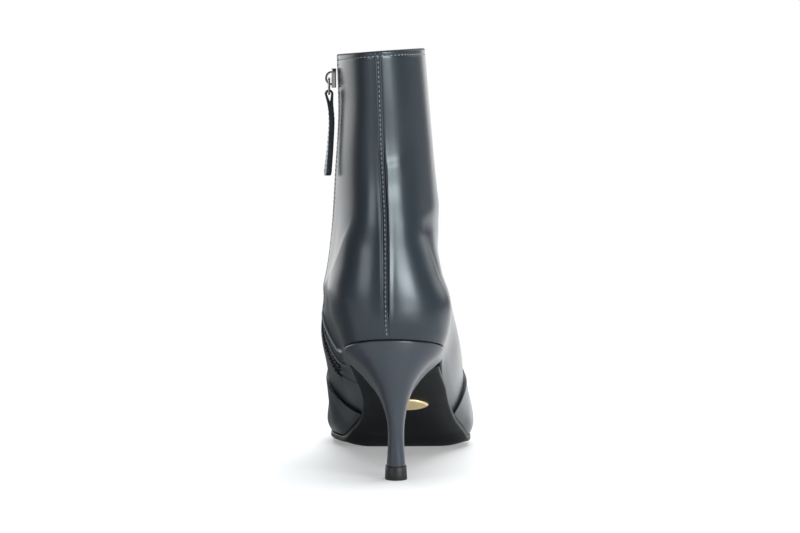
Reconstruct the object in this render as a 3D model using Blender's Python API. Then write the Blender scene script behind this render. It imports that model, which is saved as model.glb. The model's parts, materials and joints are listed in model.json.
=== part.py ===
"""Right ankle boot of smooth leather on a flared stiletto heel, zipped on the inner side.

It stands empty on its heel tip and on the ball of its sole. +Y runs to the toe, +X to the outer
side and +Z up; the origin lies under the middle of the heel tip. Sizes are in millimetres, and
turn into metres as each mesh is made.
"""

import bpy
import numpy as np

MM = 0.001
GAP = 0.3
WALL = 1.8

# Sole: its top along the boot's middle, then the lift of its edges above the flat tread.
SOLE_COLUMNS = ("y", "z", "slope")
SOLE_ROWS = (
    (-22.0, 75.0, -0.25),
    (18.0, 64.2, -0.31),
    (45.0, 51.5, -0.61),
    (90.0, 24.0, -0.60),
    (111.0, 11.6, -0.50),
    (128.0, 3.2, 0.0),
    (156.0, 3.2, 0.0),
    (226.0, 8.4, 0.15),
)
SOLE_THICKNESS = 3.2
SOLE_MARGIN = 1.7
SOLE_REAR_MARGIN = -1.5
SOLE_FULL_MARGIN_Y = 62.0
TREAD_LIFT = 2.8
TREAD_LIFT_BAND = 15.0
TREAD_LIFT_FROM_Y = 55.0
TREAD_LIFT_FULL_Y = 122.0
TREAD_FLAT_SHARE = 0.55
SOLE_SLOPE_REACH = 0.5
INSOLE_THICKNESS = 2.0
INSOLE_INSET = 2.8

# Upper: rings from the sole's edge (first row) to the collar (last row). A ring runs from its
# back point to its front point; the first ring's heights are those of the sole.
RING_COLUMNS = (
    "back_y", "back_z", "front_y", "front_z", "back_x", "front_x",
    "sole_share", "back_round", "front_round", "front_power",
)
RING_ROWS = (
    (-18.0, 0.0, 222.0, 0.0, -5.0, 5.0, 1.00, 26.0, 124.0, 1.68),
    (-21.3, 83.0, 225.0, 17.0, -5.8, 5.0, 0.97, 28.0, 122.0, 1.72),
    (-21.4, 94.0, 219.0, 28.0, -6.0, 5.0, 0.85, 31.0, 118.0, 1.80),
    (-20.5, 106.0, 197.0, 37.5, -6.0, 4.5, 0.62, 35.0, 108.0, 1.92),
    (-18.6, 120.0, 162.0, 48.0, -6.0, 2.0, 0.35, 40.0, 90.0, 2.00),
    (-16.0, 136.0, 128.0, 70.0, -6.2, -1.0, 0.15, 46.0, 70.0, 2.00),
    (-13.8, 154.0, 104.0, 101.0, -7.0, -4.0, 0.05, 52.0, 62.0, 2.00),
    (-13.6, 174.0, 91.0, 139.0, -8.0, -5.0, 0.00, 53.0, 53.0, 2.00),
    (-15.3, 197.0, 86.5, 180.0, -8.8, -5.6, 0.00, 50.0, 50.0, 2.00),
    (-17.0, 221.0, 86.0, 221.0, -9.8, -6.6, 0.00, 50.0, 50.0, 2.00),
)
# Where the outer and the inner side of each ring stand at five stations along the boot. The inner
# ball lies further forward than the outer one.
STATION_Y = {"out": (15.0, 34.0, 62.0, 95.0, 148.0), "in": (15.0, 34.0, 62.0, 95.0, 164.0)}
SIDE_COLUMNS = (
    "heel_out", "breast_out", "quarter_out", "waist_out", "ball_out",
    "heel_in", "breast_in", "quarter_in", "waist_in", "ball_in",
)
SIDE_ROWS = (
    (25.0, 25.2, 27.3, 33.0, 50.4, -26.8, -24.6, -16.0, -14.6, -38.2),
    (27.5, 28.4, 31.4, 36.5, 50.9, -29.5, -30.0, -28.7, -24.8, -38.8),
    (29.0, 31.1, 35.3, 39.0, 47.4, -33.0, -34.3, -35.3, -33.0, -35.0),
    (28.5, 30.6, 35.0, 39.0, 40.4, -33.5, -35.9, -38.2, -35.2, -31.2),
    (26.8, 28.3, 31.5, 34.5, 32.4, -32.5, -35.2, -37.4, -33.5, -27.4),
    (24.8, 25.1, 26.1, 27.0, 22.0, -32.0, -34.0, -34.9, -30.0, -22.0),
    (24.0, 24.7, 25.5, 25.4, 25.4, -31.5, -32.3, -33.3, -33.1, -33.1),
    (21.8, 21.8, 21.8, 21.8, 21.8, -31.0, -31.0, -31.0, -31.0, -31.0),
    (18.8, 18.8, 18.8, 18.8, 18.8, -29.2, -29.2, -29.2, -29.2, -29.2),
    (16.0, 16.0, 16.0, 16.0, 16.0, -30.0, -30.0, -30.0, -30.0, -30.0),
)
COLLAR_TILT = 0.07
COLLAR_TILT_POWER = 6.0
OFFSET_LEVEL_BAND = 0.6
NORMAL_STEP = 2e-3
SIDE_STEPS = 32
UPPER_LEVELS = (
    0.0, 0.4, 0.85, 1.25, 1.7, 2.2, 2.7, 3.2, 3.7, 4.2, 4.7, 5.2, 5.7, 6.3, 6.9, 7.5, 8.1, 8.6, 9.0,
)

# Vamp overlay: its rear edge climbs from the sole's waist to a peak on the instep.
VAMP_START = 0.482
VAMP_EDGE_PLACES = (0.4826, 0.488, 0.52)
VAMP_PEAK_LEVEL = 5.2
VAMP_FOOT_LEVEL = 0.05
VAMP_RISE_POWER = 0.4
VAMP_LAST_STEP = 0.08
VAMP_THICKNESS = 1.2
VAMP_GAP = 0.4

# Zip: a slit along the inner side, from the collar forwards and down to its end above the waist.
ZIP_TOP_Y = 27.0
ZIP_END_Y = 62.0
ZIP_BEND = 1.3
ZIP_END_LEVEL = 0.85
ZIP_TOP_LEVEL = 8.96
SLIT_HALF = 2.8
AHEAD_OF_SLIT_COLUMNS = 3
BEHIND_SLIT_COLUMNS = 14
TAPE_ACROSS = ((-2.5, -0.6), (-1.8, -0.6), (-1.5, 0.2), (1.5, 0.2), (1.8, -0.6), (2.5, -0.6))
TAPE_BACK = -1.5
TAPE_END_LEVEL_GAP = 0.04

# Slider with its bridge, link and pull tab; heights are from the hinge, depths from the slider's foot.
HINGE_Z = 207.0
HINGE_DEPTH = 3.7
SLIDER_STAND_OFF = 0.7
SLIDER_WIDTH = 7.4
SLIDER_TOP = 5.2
SLIDER_FOOT = -5.0
SLIDER_THICKNESS = 2.4
SLIDER_PLACE_SAMPLES = 21
SLIDER_EDGE_SAMPLES = 5
BRIDGE_WIDTH = 2.2
BRIDGE_REACH = 5.8
BRIDGE_BAR = 1.1
BRIDGE_HALF = 3.9
BRIDGE_POST = 1.2
LINK_WIRE = 0.6
LINK_HALF_WIDTH = 4.0
LINK_DROP = 8.2
LINK_CORNER = 1.2
LINK_SIDES = 10
LINK_CORNER_POINTS = 4
TAB_WIDTH = 6.0
TAB_THICKNESS = 3.0
TAB_EYE_RADIUS = 2.3
TAB_EYE_HOLE = 1.05
TAB_LENGTH = 45.0
TAB_END_CORNER = 2.6
TAB_CORNER_POINTS = 6
TAB_EYE_POINTS = 24
TAB_HOLE_POINTS = 16

# Heel: sections from the tip (first row) to the seat (last row, whose heights are the sole's).
HEEL_COLUMNS = (
    "back_y", "back_z", "front_y", "front_z", "out_x", "in_x", "back_round", "front_round",
)
HEEL_ROWS = (
    (-5.9, 7.3, 5.2, 7.3, 4.8, -4.8, 5.0, 1.2),
    (-6.4, 18.5, 4.7, 18.5, 4.15, -4.15, 5.0, 1.4),
    (-7.7, 27.5, 5.0, 26.8, 4.15, -4.25, 5.6, 1.6),
    (-9.2, 35.5, 6.4, 33.0, 5.0, -5.4, 7.0, 2.0),
    (-11.0, 43.0, 8.8, 38.0, 6.4, -7.2, 9.0, 2.2),
    (-13.2, 50.5, 12.5, 42.5, 8.4, -9.6, 11.0, 2.2),
    (-15.2, 57.5, 17.5, 46.8, 11.6, -13.2, 14.0, 2.0),
    (-16.8, 64.3, 24.5, 51.6, 16.6, -17.8, 18.5, 1.6),
    (-17.6, 69.5, 30.5, 55.8, 22.2, -22.9, 23.5, 1.2),
    (-18.0, 0.0, 33.6, 0.0, 25.0, -26.8, 26.0, 1.0),
)
HEEL_SIDE_STEPS = 16
HEEL_LEVELS = 22
TIP_COLUMNS = ("z", "back_y", "front_y", "half_width", "back_round", "front_round")
TIP_ROWS = (
    (0.0, -6.4, 5.8, 5.7, 5.8, 1.5),
    (7.0, -6.2, 5.6, 5.4, 5.6, 1.5),
)

SOLE_REAR_Y = 34.0
SOLE_ROW_STEP = 5.0
TOE_ROWS_FROM_Y = 206.0
END_ROWS = 9
END_ROW_INSET = 0.05
EDGE_SAMPLES = 801
INSOLE_ACROSS = (-1.0, -0.75, -0.4, 0.4, 0.75, 1.0)
SOLE_ACROSS = (-1.0, -0.9, -0.78, -0.66, -TREAD_FLAT_SHARE, 0.0, TREAD_FLAT_SHARE, 0.66, 0.78, 0.9, 1.0)

PLATE_X = 8.5
PLATE_Y = 75.5
PLATE_HALF_WIDTH = 11.3
PLATE_HALF_LENGTH = 5.4
PLATE_TAPER_POWER = 0.7
PLATE_THICKNESS = 0.7
PLATE_STEPS = 14
PLATE_ACROSS = 5
PLATE_POINT = 0.12

LEATHER = ((0.056, 0.069, 0.084), 0.32, 0.0)
HEEL_LEATHER = ((0.072, 0.081, 0.101), 0.34, 0.0)
SOLE_BLACK = ((0.009, 0.011, 0.013), 0.38, 0.0)
TIP_BLACK = ((0.012, 0.013, 0.015), 0.5, 0.0)
SOCK_GREY = ((0.03, 0.03, 0.032), 0.6, 0.0)
TAPE_BLACK = ((0.006, 0.006, 0.007), 0.65, 0.0)
GUNMETAL = ((0.12, 0.12, 0.125), 0.25, 1.0)
GOLD = ((0.62, 0.42, 0.2), 0.3, 1.0)


def table(columns, rows):
    """The rows as named columns of numbers."""
    return dict(zip(columns, np.array(rows, float).T))


def through(knots, values, at, slopes=None):
    """A smooth curve through the values at the knots, which may differ from point to point."""
    knots = np.asarray(knots, float)
    values = np.asarray(values, float)
    at = np.clip(np.asarray(at, float), knots[0], knots[-1])
    if slopes is None:
        slopes = np.gradient(values, knots, axis=0)
    i = np.clip(np.searchsorted(knots, at, side="right") - 1, 0, len(knots) - 2)
    width = knots[i + 1] - knots[i]
    f = (at - knots[i]) / width
    if values.ndim == 1:
        low, high = i, i + 1
    else:
        low, high = (i, np.arange(len(at))), (i + 1, np.arange(len(at)))
    rise = values[low] * (1 + 2 * f) * (1 - f) ** 2 + values[high] * f * f * (3 - 2 * f)
    return rise + width * (slopes[low] * f * (1 - f) ** 2 - slopes[high] * f * f * (1 - f))


def smooth_step(low, high, at):
    f = np.clip((np.asarray(at, float) - low) / (high - low), 0.0, 1.0)
    return f * f * (3 - 2 * f)


def rounding(share, power):
    """The share of full width left at this share of the way in from a rounded end."""
    return (1 - (1 - np.clip(share, 0.0, 1.0)) ** power) ** (1 / power)


def along(step):
    """Steps from 0 to 1 that gather at both ends, where outlines turn most."""
    return (1 - np.cos(np.pi * np.asarray(step, float))) / 2


SOLE = table(SOLE_COLUMNS, SOLE_ROWS)


def sole_height(y, from_edge):
    """The sole's top at y, this far in from its edge: flat in the middle, lifted at the rim."""
    lift = TREAD_LIFT * smooth_step(TREAD_LIFT_FROM_Y, TREAD_LIFT_FULL_Y, y)
    near = 1 - np.clip(from_edge / TREAD_LIFT_BAND, 0.0, 1.0)
    return through(SOLE["y"], SOLE["z"], y, SOLE["slope"]) + lift * near**2


def off_sole(x, y, from_edge, raised):
    """Points this far above the sole's top, square to its profile."""
    slope = sole_height(y + SOLE_SLOPE_REACH, from_edge) - sole_height(y - SOLE_SLOPE_REACH, from_edge)
    slope = slope / (2 * SOLE_SLOPE_REACH)
    steep = np.sqrt(1 + slope**2)
    z = sole_height(y, from_edge) + raised / steep
    return np.stack([x, y - raised * slope / steep, z], axis=-1)


RINGS = table(RING_COLUMNS, RING_ROWS)
SIDES = table(SIDE_COLUMNS, SIDE_ROWS)
RING_LEVELS = np.arange(len(RING_ROWS), dtype=float)
for end in ("back", "front"):
    RINGS[end + "_z"][0] = sole_height(RINGS[end + "_y"][0], 0.0) + GAP


def sole_sag(t):
    """How far the sole's edge hangs below the straight line from its back to its front."""
    y = RINGS["back_y"][0] + (RINGS["front_y"][0] - RINGS["back_y"][0]) * t
    chord = RINGS["back_z"][0] + (RINGS["front_z"][0] - RINGS["back_z"][0]) * t
    return sole_height(y, 0.0) + GAP - chord


def side_at(side, y, level):
    names = [name for name in SIDE_COLUMNS if name.endswith(side)]
    stations = np.array([through(RING_LEVELS, SIDES[name], level) for name in names])
    slopes = np.gradient(stations, np.array(STATION_Y[side]), axis=0)
    slopes[[0, -1]] = 0.0
    return through(STATION_Y[side], stations, y, slopes)


def surface(around, level):
    """The upper's outside. Around runs from 0 at the back by the outer side to 2; level counts rings."""
    around, level = np.broadcast_arrays(np.asarray(around, float) % 2.0, np.asarray(level, float))
    shape = around.shape
    around, level = around.ravel(), level.ravel()
    t = along(np.where(around <= 1.0, around, 2.0 - around))
    ring = {name: through(RING_LEVELS, column, level) for name, column in RINGS.items()}
    y = ring["back_y"] + (ring["front_y"] - ring["back_y"]) * t
    centre = ring["back_x"] + (ring["front_x"] - ring["back_x"]) * t
    side = np.where(around <= 1.0, side_at("out", y, level), side_at("in", y, level))
    reach = rounding((y - ring["back_y"]) / ring["back_round"], 2.0)
    reach = reach * rounding((ring["front_y"] - y) / ring["front_round"], ring["front_power"])
    across = (side - centre) * reach
    z = ring["back_z"] + (ring["front_z"] - ring["back_z"]) * t + ring["sole_share"] * sole_sag(t)
    z = z + COLLAR_TILT * across * (level / RING_LEVELS[-1]) ** COLLAR_TILT_POWER
    return np.stack([centre + across, y, z], axis=-1).reshape(shape + (3,))


def outward(around, level):
    """Unit normals of the upper's outside, level with the ground at the sole's edge."""
    around, level = np.broadcast_arrays(np.asarray(around, float), np.asarray(level, float))
    step, top = NORMAL_STEP, RING_LEVELS[-1]
    run = surface(around + step, level) - surface(around - step, level)
    rise = surface(around, np.minimum(level + step, top)) - surface(around, np.maximum(level - step, 0.0))
    normal = np.cross(run, rise)
    normal = normal / np.linalg.norm(normal, axis=-1, keepdims=True)
    normal[..., 2] *= smooth_step(0.0, OFFSET_LEVEL_BAND, level)
    return normal / np.linalg.norm(normal, axis=-1, keepdims=True)


def offset(around, level, height):
    return surface(around, level) + outward(around, level) * np.asarray(height, float)[..., None]


def around_at(t, outer):
    """The place around a ring that lies this share of the way from its back to its front."""
    step = np.arccos(np.clip(1 - 2 * np.asarray(t, float), -1.0, 1.0)) / np.pi
    return step if outer else 2.0 - step


def zip_around(across, level):
    """The place around a ring that lies this far in front of the zip's middle line."""
    down = (RING_LEVELS[-1] - level) / (RING_LEVELS[-1] - ZIP_END_LEVEL)
    y = ZIP_TOP_Y + (ZIP_END_Y - ZIP_TOP_Y) * np.clip(down, 0.0, 1.0) ** ZIP_BEND + across
    back = through(RING_LEVELS, RINGS["back_y"], level)
    front = through(RING_LEVELS, RINGS["front_y"], level)
    return around_at((y - back) / (front - back), False)


def material(name, look):
    colour, roughness, metallic = look
    made = bpy.data.materials.new(name)
    made.use_nodes = True
    shader = made.node_tree.nodes["Principled BSDF"]
    shader.inputs["Base Color"].default_value = (*colour, 1.0)
    shader.inputs["Roughness"].default_value = roughness
    shader.inputs["Metallic"].default_value = metallic
    made.diffuse_color = (*colour, 1.0)
    return made


def add_mesh(name, points, faces, look):
    mesh = bpy.data.meshes.new(name)
    mesh.from_pydata((np.asarray(points, float) * MM).tolist(), [], faces)
    mesh.update()
    made = bpy.data.objects.new(name, mesh)
    bpy.context.scene.collection.objects.link(made)
    mesh.materials.append(material(name + "_material", look))
    return made


def shell(name, outer, inner, look, kept=None, wrap=False, rows_used=None):
    """A wall between two grids of points, closed along the rim of the cells that are kept.

    Rows from a column's entry in rows_used on share that column's point there.
    """
    rows, columns = outer.shape[:2]
    if kept is None:
        kept = np.ones((rows - 1, columns if wrap else columns - 1), bool)
    row = np.repeat(np.arange(rows)[:, None], columns, axis=1)
    if rows_used is not None:
        row = np.minimum(row, rows_used)
    corner = row * columns + np.arange(columns)
    quads = []
    for i, j in zip(*np.nonzero(kept)):
        k = (j + 1) % columns
        around_cell = (corner[i, j], corner[i, k], corner[i + 1, k], corner[i + 1, j])
        quad = dict.fromkeys(int(n) for n in around_cell)
        if len(quad) > 2:
            quads.append(tuple(quad))
    edges = {(quad[n - 1], quad[n]) for quad in quads for n in range(len(quad))}
    below = rows * columns
    faces = [(quad[0], quad[n], quad[n + 1]) for quad in quads for n in range(1, len(quad) - 1)]
    faces += [tuple(n + below for n in reversed(face)) for face in faces]
    faces += [(q, p, p + below, q + below) for p, q in sorted(edges) if (q, p) not in edges]
    used = sorted({n for face in faces for n in face})
    place = {n: new for new, n in enumerate(used)}
    points = np.concatenate([outer.reshape(-1, 3), inner.reshape(-1, 3)])[used]
    return add_mesh(name, points, [[place[n] for n in face] for face in faces], look)


def loft(name, sections, look):
    """A solid through closed sections from the lowest up, each the same both ways from its back."""
    rows, count = sections.shape[:2]
    faces = []
    for i in range(rows - 1):
        for j in range(count):
            k = (j + 1) % count
            faces.append((i * count + j, i * count + k, (i + 1) * count + k, (i + 1) * count + j))
    top = (rows - 1) * count
    for j in range(count // 2):
        strip = (j, j + 1, count - j - 1, (count - j) % count)
        strip = tuple(dict.fromkeys(strip))
        faces.append(tuple(reversed(strip)))
        faces.append(tuple(top + corner for corner in strip))
    return add_mesh(name, sections.reshape(-1, 3), faces, look)


def heel_section(row, steps):
    """One closed outline of the heel: round at the back, flat at the breast."""
    t = along(np.arange(steps + 1) / steps)
    y = row["back_y"] + (row["front_y"] - row["back_y"]) * t
    z = row["back_z"] + (row["front_z"] - row["back_z"]) * t
    reach = rounding((y - row["back_y"]) / row["back_round"], 2.0)
    reach = reach * rounding((row["front_y"] - y) / row["front_round"], 2.0)
    middle = row["back_x"]
    outer = np.stack([middle + (row["out_x"] - middle) * reach, y, z], axis=-1)
    inner = np.stack([middle + (row["in_x"] - middle) * reach, y, z], axis=-1)
    return np.concatenate([outer, inner[-2:0:-1]])


def forepart_columns():
    """Places of the columns from the vamp's start on the outer side to its start on the inner side."""
    even = np.linspace(0.0, 1.0, SIDE_STEPS + 1)
    steps = np.union1d(even, around_at(np.array(VAMP_EDGE_PLACES), True))
    steps = steps[along(steps) > VAMP_START]
    return np.concatenate([steps, 2.0 - steps[-2::-1]])


def upper_columns(levels):
    """Places of the upper's columns at each level, and which of them is the slit's front edge."""
    forepart = forepart_columns()
    even = np.linspace(0.0, 1.0, SIDE_STEPS + 1)
    fixed = np.concatenate([even[even < forepart[0]], forepart])
    front, rear = zip_around(SLIT_HALF, levels)[:, None], zip_around(-SLIT_HALF, levels)[:, None]
    ahead = fixed[-1] + (front - fixed[-1]) * np.arange(1, AHEAD_OF_SLIT_COLUMNS + 1) / AHEAD_OF_SLIT_COLUMNS
    behind = rear + (2.0 - rear) * np.arange(BEHIND_SLIT_COLUMNS) / BEHIND_SLIT_COLUMNS
    around = np.concatenate([np.tile(fixed, (len(levels), 1)), ahead, behind], axis=1)
    return around, len(fixed) + AHEAD_OF_SLIT_COLUMNS - 1


def make_upper():
    levels = np.array(UPPER_LEVELS)
    around, slit = upper_columns(levels)
    kept = np.ones((len(levels) - 1, around.shape[1]), bool)
    kept[levels[:-1] >= ZIP_END_LEVEL, slit] = False
    inner = offset(around, levels[:, None], np.full(around.shape, -WALL))
    shell("upper", surface(around, levels[:, None]), inner, LEATHER, kept, wrap=True)


def make_vamp():
    """The vamp on the upper's own columns and levels, each column trimmed at the vamp's edge."""
    around = forepart_columns()
    t = along(np.where(around <= 1.0, around, 2.0 - around))
    edge = VAMP_PEAK_LEVEL * ((t - VAMP_START) / (1 - VAMP_START)) ** VAMP_RISE_POWER
    levels = np.array(UPPER_LEVELS)
    last = (levels[:, None] < edge - VAMP_LAST_STEP).sum(axis=0)
    share = ((edge - levels[last - 1]) / (levels[last] - levels[last - 1]))[:, None]
    column = np.arange(len(edge))

    def trimmed(height):
        shape = (len(levels), len(edge))
        grid = offset(np.broadcast_to(around, shape), levels[:, None], np.full(shape, height))
        grid[last, column] = grid[last - 1, column] * (1 - share) + grid[last, column] * share
        grid[0] += (grid[1] - grid[0]) * VAMP_FOOT_LEVEL / levels[1]
        return grid

    shell("vamp", trimmed(VAMP_GAP + VAMP_THICKNESS), trimmed(VAMP_GAP), LEATHER, rows_used=last)


def sole_edges(y, margin):
    """Where the outer and the inner edge of the sole's outline, grown by the margin, stand at y."""
    edges = []
    for outer in (True, False):
        around = around_at(along(np.linspace(0.0, 1.0, EDGE_SAMPLES)), outer)
        outline = offset(around, np.zeros_like(around), np.full(around.shape, margin))
        edges.append(np.interp(y, outline[:, 1], outline[:, 0]))
    return edges


def sole_grid(rows, places, margin, raised):
    """Rows across the sole at these y, this far above its top, square to its profile."""
    outer, inner = sole_edges(rows, margin)
    across = np.array(places)[None]
    half = (outer - inner)[:, None] / 2
    x = (outer + inner)[:, None] / 2 + half * across
    y = np.broadcast_to(rows[:, None], x.shape)
    from_edge = np.maximum(half * (1 - np.abs(across)) - margin, 0.0)
    return off_sole(x, y, from_edge, raised)


def sole_rows(back, margin):
    """Places of the rows along the sole: even up to the toe, closer there and at a rounded heel."""
    even = np.arange(SOLE_REAR_Y, TOE_ROWS_FROM_Y, SOLE_ROW_STEP)
    tip = RINGS["front_y"][0] + margin - END_ROW_INSET
    toe = TOE_ROWS_FROM_Y + (tip - TOE_ROWS_FROM_Y) * np.sin(np.linspace(0.0, np.pi / 2, END_ROWS))
    if back is None:
        return np.concatenate([even, toe])
    first = back - margin + END_ROW_INSET
    heel = SOLE_REAR_Y - (SOLE_REAR_Y - first) * np.sin(np.linspace(np.pi / 2, 0.0, END_ROWS))
    return np.concatenate([heel[:-1], even, toe])


def make_outsole():
    """The outsole, whose edge draws in under the upper towards the heel's breast."""
    rows = sole_rows(None, SOLE_MARGIN)
    grown = smooth_step(SOLE_REAR_Y, SOLE_FULL_MARGIN_Y, rows)[:, None, None]
    faces = []
    for raised in (0.0, -SOLE_THICKNESS):
        full = sole_grid(rows, SOLE_ACROSS, SOLE_MARGIN, raised)
        drawn_in = sole_grid(rows, SOLE_ACROSS, SOLE_REAR_MARGIN, raised)
        faces.append(full * grown + drawn_in * (1 - grown))
    shell("outsole", *faces, SOLE_BLACK)


def make_insole():
    rows = sole_rows(RINGS["back_y"][0], -INSOLE_INSET)
    low = sole_grid(rows, INSOLE_ACROSS, -INSOLE_INSET, GAP)
    high = sole_grid(rows, INSOLE_ACROSS, -INSOLE_INSET, GAP + INSOLE_THICKNESS)
    shell("insole", high, low, SOCK_GREY)


def make_heel():
    rows = table(HEEL_COLUMNS, HEEL_ROWS)
    for end in ("back", "front"):
        rows[end + "_z"][-1] = sole_height(rows[end + "_y"][-1], 0.0)
    rows["back_x"] = np.linspace(0.0, RINGS["back_x"][0], len(HEEL_ROWS))
    knots = np.arange(len(HEEL_ROWS), dtype=float)
    levels = np.linspace(0.0, knots[-1], HEEL_LEVELS)
    sections = []
    for level in levels:
        row = {name: float(through(knots, column, level)) for name, column in rows.items()}
        sections.append(heel_section(row, HEEL_SIDE_STEPS))
    sections[-1][:, 2] = sole_height(sections[-1][:, 1], 0.0)
    loft("heel", np.array(sections), HEEL_LEATHER)


def make_top_piece():
    sections = []
    for values in TIP_ROWS:
        row = dict(zip(TIP_COLUMNS, values))
        row.update(back_z=row["z"], front_z=row["z"], back_x=0.0)
        row.update(out_x=row["half_width"], in_x=-row["half_width"])
        sections.append(heel_section(row, HEEL_SIDE_STEPS))
    loft("heel_top_piece", np.array(sections), TIP_BLACK)


def make_sole_plate():
    step = np.linspace(-1.0, 1.0, PLATE_STEPS)
    x = PLATE_X + PLATE_HALF_WIDTH * step
    half = PLATE_HALF_LENGTH * np.maximum(1 - step**2, PLATE_POINT) ** PLATE_TAPER_POWER
    across = np.linspace(-1.0, 1.0, PLATE_ACROSS)[:, None]
    y = PLATE_Y + half[None] * across
    flat_x = np.broadcast_to(x, y.shape)
    far_in = np.full(y.shape, TREAD_LIFT_BAND)
    under = -SOLE_THICKNESS - GAP
    back = off_sole(flat_x, y, far_in, under)
    shell("sole_plate", back, off_sole(flat_x, y, far_in, under - PLATE_THICKNESS), GOLD)


def make_zip_tape():
    level = np.array([level for level in UPPER_LEVELS if level >= ZIP_END_LEVEL])
    level[[0, -1]] = ZIP_END_LEVEL + TAPE_END_LEVEL_GAP, ZIP_TOP_LEVEL
    across, height = np.array(TAPE_ACROSS)[::-1].T
    level = np.repeat(level[:, None], len(across), axis=1)
    around = zip_around(np.broadcast_to(across, level.shape), level)
    top = offset(around, level, np.broadcast_to(height, level.shape))
    back = offset(around, level, np.full(level.shape, TAPE_BACK))
    shell("zip_tape", top, back, TAPE_BLACK)


def box(name, low, high, look):
    low, high = np.array(low), np.array(high)
    corners = np.array([[(n >> axis) & 1 for axis in range(3)] for n in range(8)])
    faces = [(0, 2, 3, 1), (4, 5, 7, 6), (0, 1, 5, 4), (2, 6, 7, 3), (0, 4, 6, 2), (1, 3, 7, 5)]
    return add_mesh(name, low + corners * (high - low), faces, look)


def prism(name, outline, axis, half, look):
    """A flat outline, counter-clockwise seen from the far end of this axis, drawn out both ways."""
    count = len(outline)
    points = []
    for end in (-half, half):
        for pair in outline:
            point = list(pair)
            point.insert(axis, end)
            points.append(point)
    faces = [tuple(reversed(range(count))), tuple(range(count, 2 * count))]
    faces += [(j, (j + 1) % count, count + (j + 1) % count, count + j) for j in range(count)]
    return add_mesh(name, points, faces, look)


def arc(centre, radius, start, end, steps):
    angle = np.radians(np.linspace(start, end, steps))
    return np.stack([centre[0] + radius * np.cos(angle), centre[1] + radius * np.sin(angle)], axis=-1)


def combine(made, helper, operation):
    helper.hide_render = True
    helper.display_type = "WIRE"
    cut = made.modifiers.new(helper.name, "BOOLEAN")
    cut.object = helper
    cut.operation = operation
    cut.solver = "EXACT"


def put(made, hinge):
    made.parent = hinge
    return made


def make_pull(hinge):
    """Slider on the boot, and the link and leather tab that hang from it; all drawn about the hinge."""
    foot = HINGE_DEPTH
    face = foot - SLIDER_THICKNESS
    half = SLIDER_WIDTH / 2
    slider = put(box("zip_slider", (face, -half, SLIDER_FOOT), (foot, half, SLIDER_TOP), GUNMETAL), hinge)
    reach = foot - BRIDGE_REACH
    low = (reach, -BRIDGE_WIDTH / 2, -BRIDGE_HALF)
    high = (face + BRIDGE_BAR, BRIDGE_WIDTH / 2, BRIDGE_HALF)
    bridge = box("slider_bridge", low, high, GUNMETAL)
    eye_half = BRIDGE_HALF - BRIDGE_POST
    eye = box("slider_eye", (reach + BRIDGE_BAR, -half, -eye_half), (face, half, eye_half), GUNMETAL)
    combine(slider, put(bridge, hinge), "UNION")
    combine(slider, put(eye, hinge), "DIFFERENCE")

    inset = LINK_HALF_WIDTH - LINK_CORNER
    path = np.concatenate([
        arc((inset, -LINK_CORNER), LINK_CORNER, 0.0, 90.0, LINK_CORNER_POINTS),
        arc((-inset, -LINK_CORNER), LINK_CORNER, 90.0, 180.0, LINK_CORNER_POINTS),
        arc((-inset, LINK_CORNER - LINK_DROP), LINK_CORNER, 180.0, 270.0, LINK_CORNER_POINTS),
        arc((inset, LINK_CORNER - LINK_DROP), LINK_CORNER, 270.0, 360.0, LINK_CORNER_POINTS),
    ])
    heading = np.roll(path, -1, axis=0) - np.roll(path, 1, axis=0)
    heading = heading / np.linalg.norm(heading, axis=1, keepdims=True)
    side = np.stack([heading[:, 1], -heading[:, 0]], axis=-1)
    turn = np.radians(np.arange(LINK_SIDES) * 360.0 / LINK_SIDES)[None]
    out = LINK_WIRE * np.cos(turn)
    points = np.stack([
        np.broadcast_to(LINK_WIRE * np.sin(turn), (len(path), LINK_SIDES)),
        path[:, :1] + side[:, :1] * out,
        path[:, 1:] + side[:, 1:] * out,
    ], axis=-1)
    count = len(path)
    faces = []
    for i in range(count):
        for j in range(LINK_SIDES):
            k, n = (j + 1) % LINK_SIDES, (i + 1) % count
            faces.append((i * LINK_SIDES + j, n * LINK_SIDES + j, n * LINK_SIDES + k, i * LINK_SIDES + k))
    put(add_mesh("zip_link", points.reshape(-1, 3), faces, GUNMETAL), hinge)

    width = TAB_WIDTH / 2
    eye_z = -LINK_DROP
    low = eye_z - TAB_LENGTH + TAB_EYE_RADIUS
    corner = TAB_END_CORNER
    outline = np.concatenate([
        [(width, eye_z), (-width, eye_z)],
        arc((corner - width, low + corner), corner, 180.0, 270.0, TAB_CORNER_POINTS),
        arc((width - corner, low + corner), corner, 270.0, 360.0, TAB_CORNER_POINTS),
    ])
    tab = put(prism("zip_pull_tab", outline, 0, TAB_THICKNESS / 2, LEATHER), hinge)
    ring = arc((0.0, eye_z), TAB_EYE_RADIUS, 360.0, 0.0, TAB_EYE_POINTS + 1)[:-1]
    hole = arc((0.0, eye_z), TAB_EYE_HOLE, 360.0, 0.0, TAB_HOLE_POINTS + 1)[:-1]
    combine(tab, put(prism("tab_eye", ring, 1, width, LEATHER), hinge), "UNION")
    combine(tab, put(prism("tab_hole", hole, 1, TAB_WIDTH, LEATHER), hinge), "DIFFERENCE")


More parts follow.
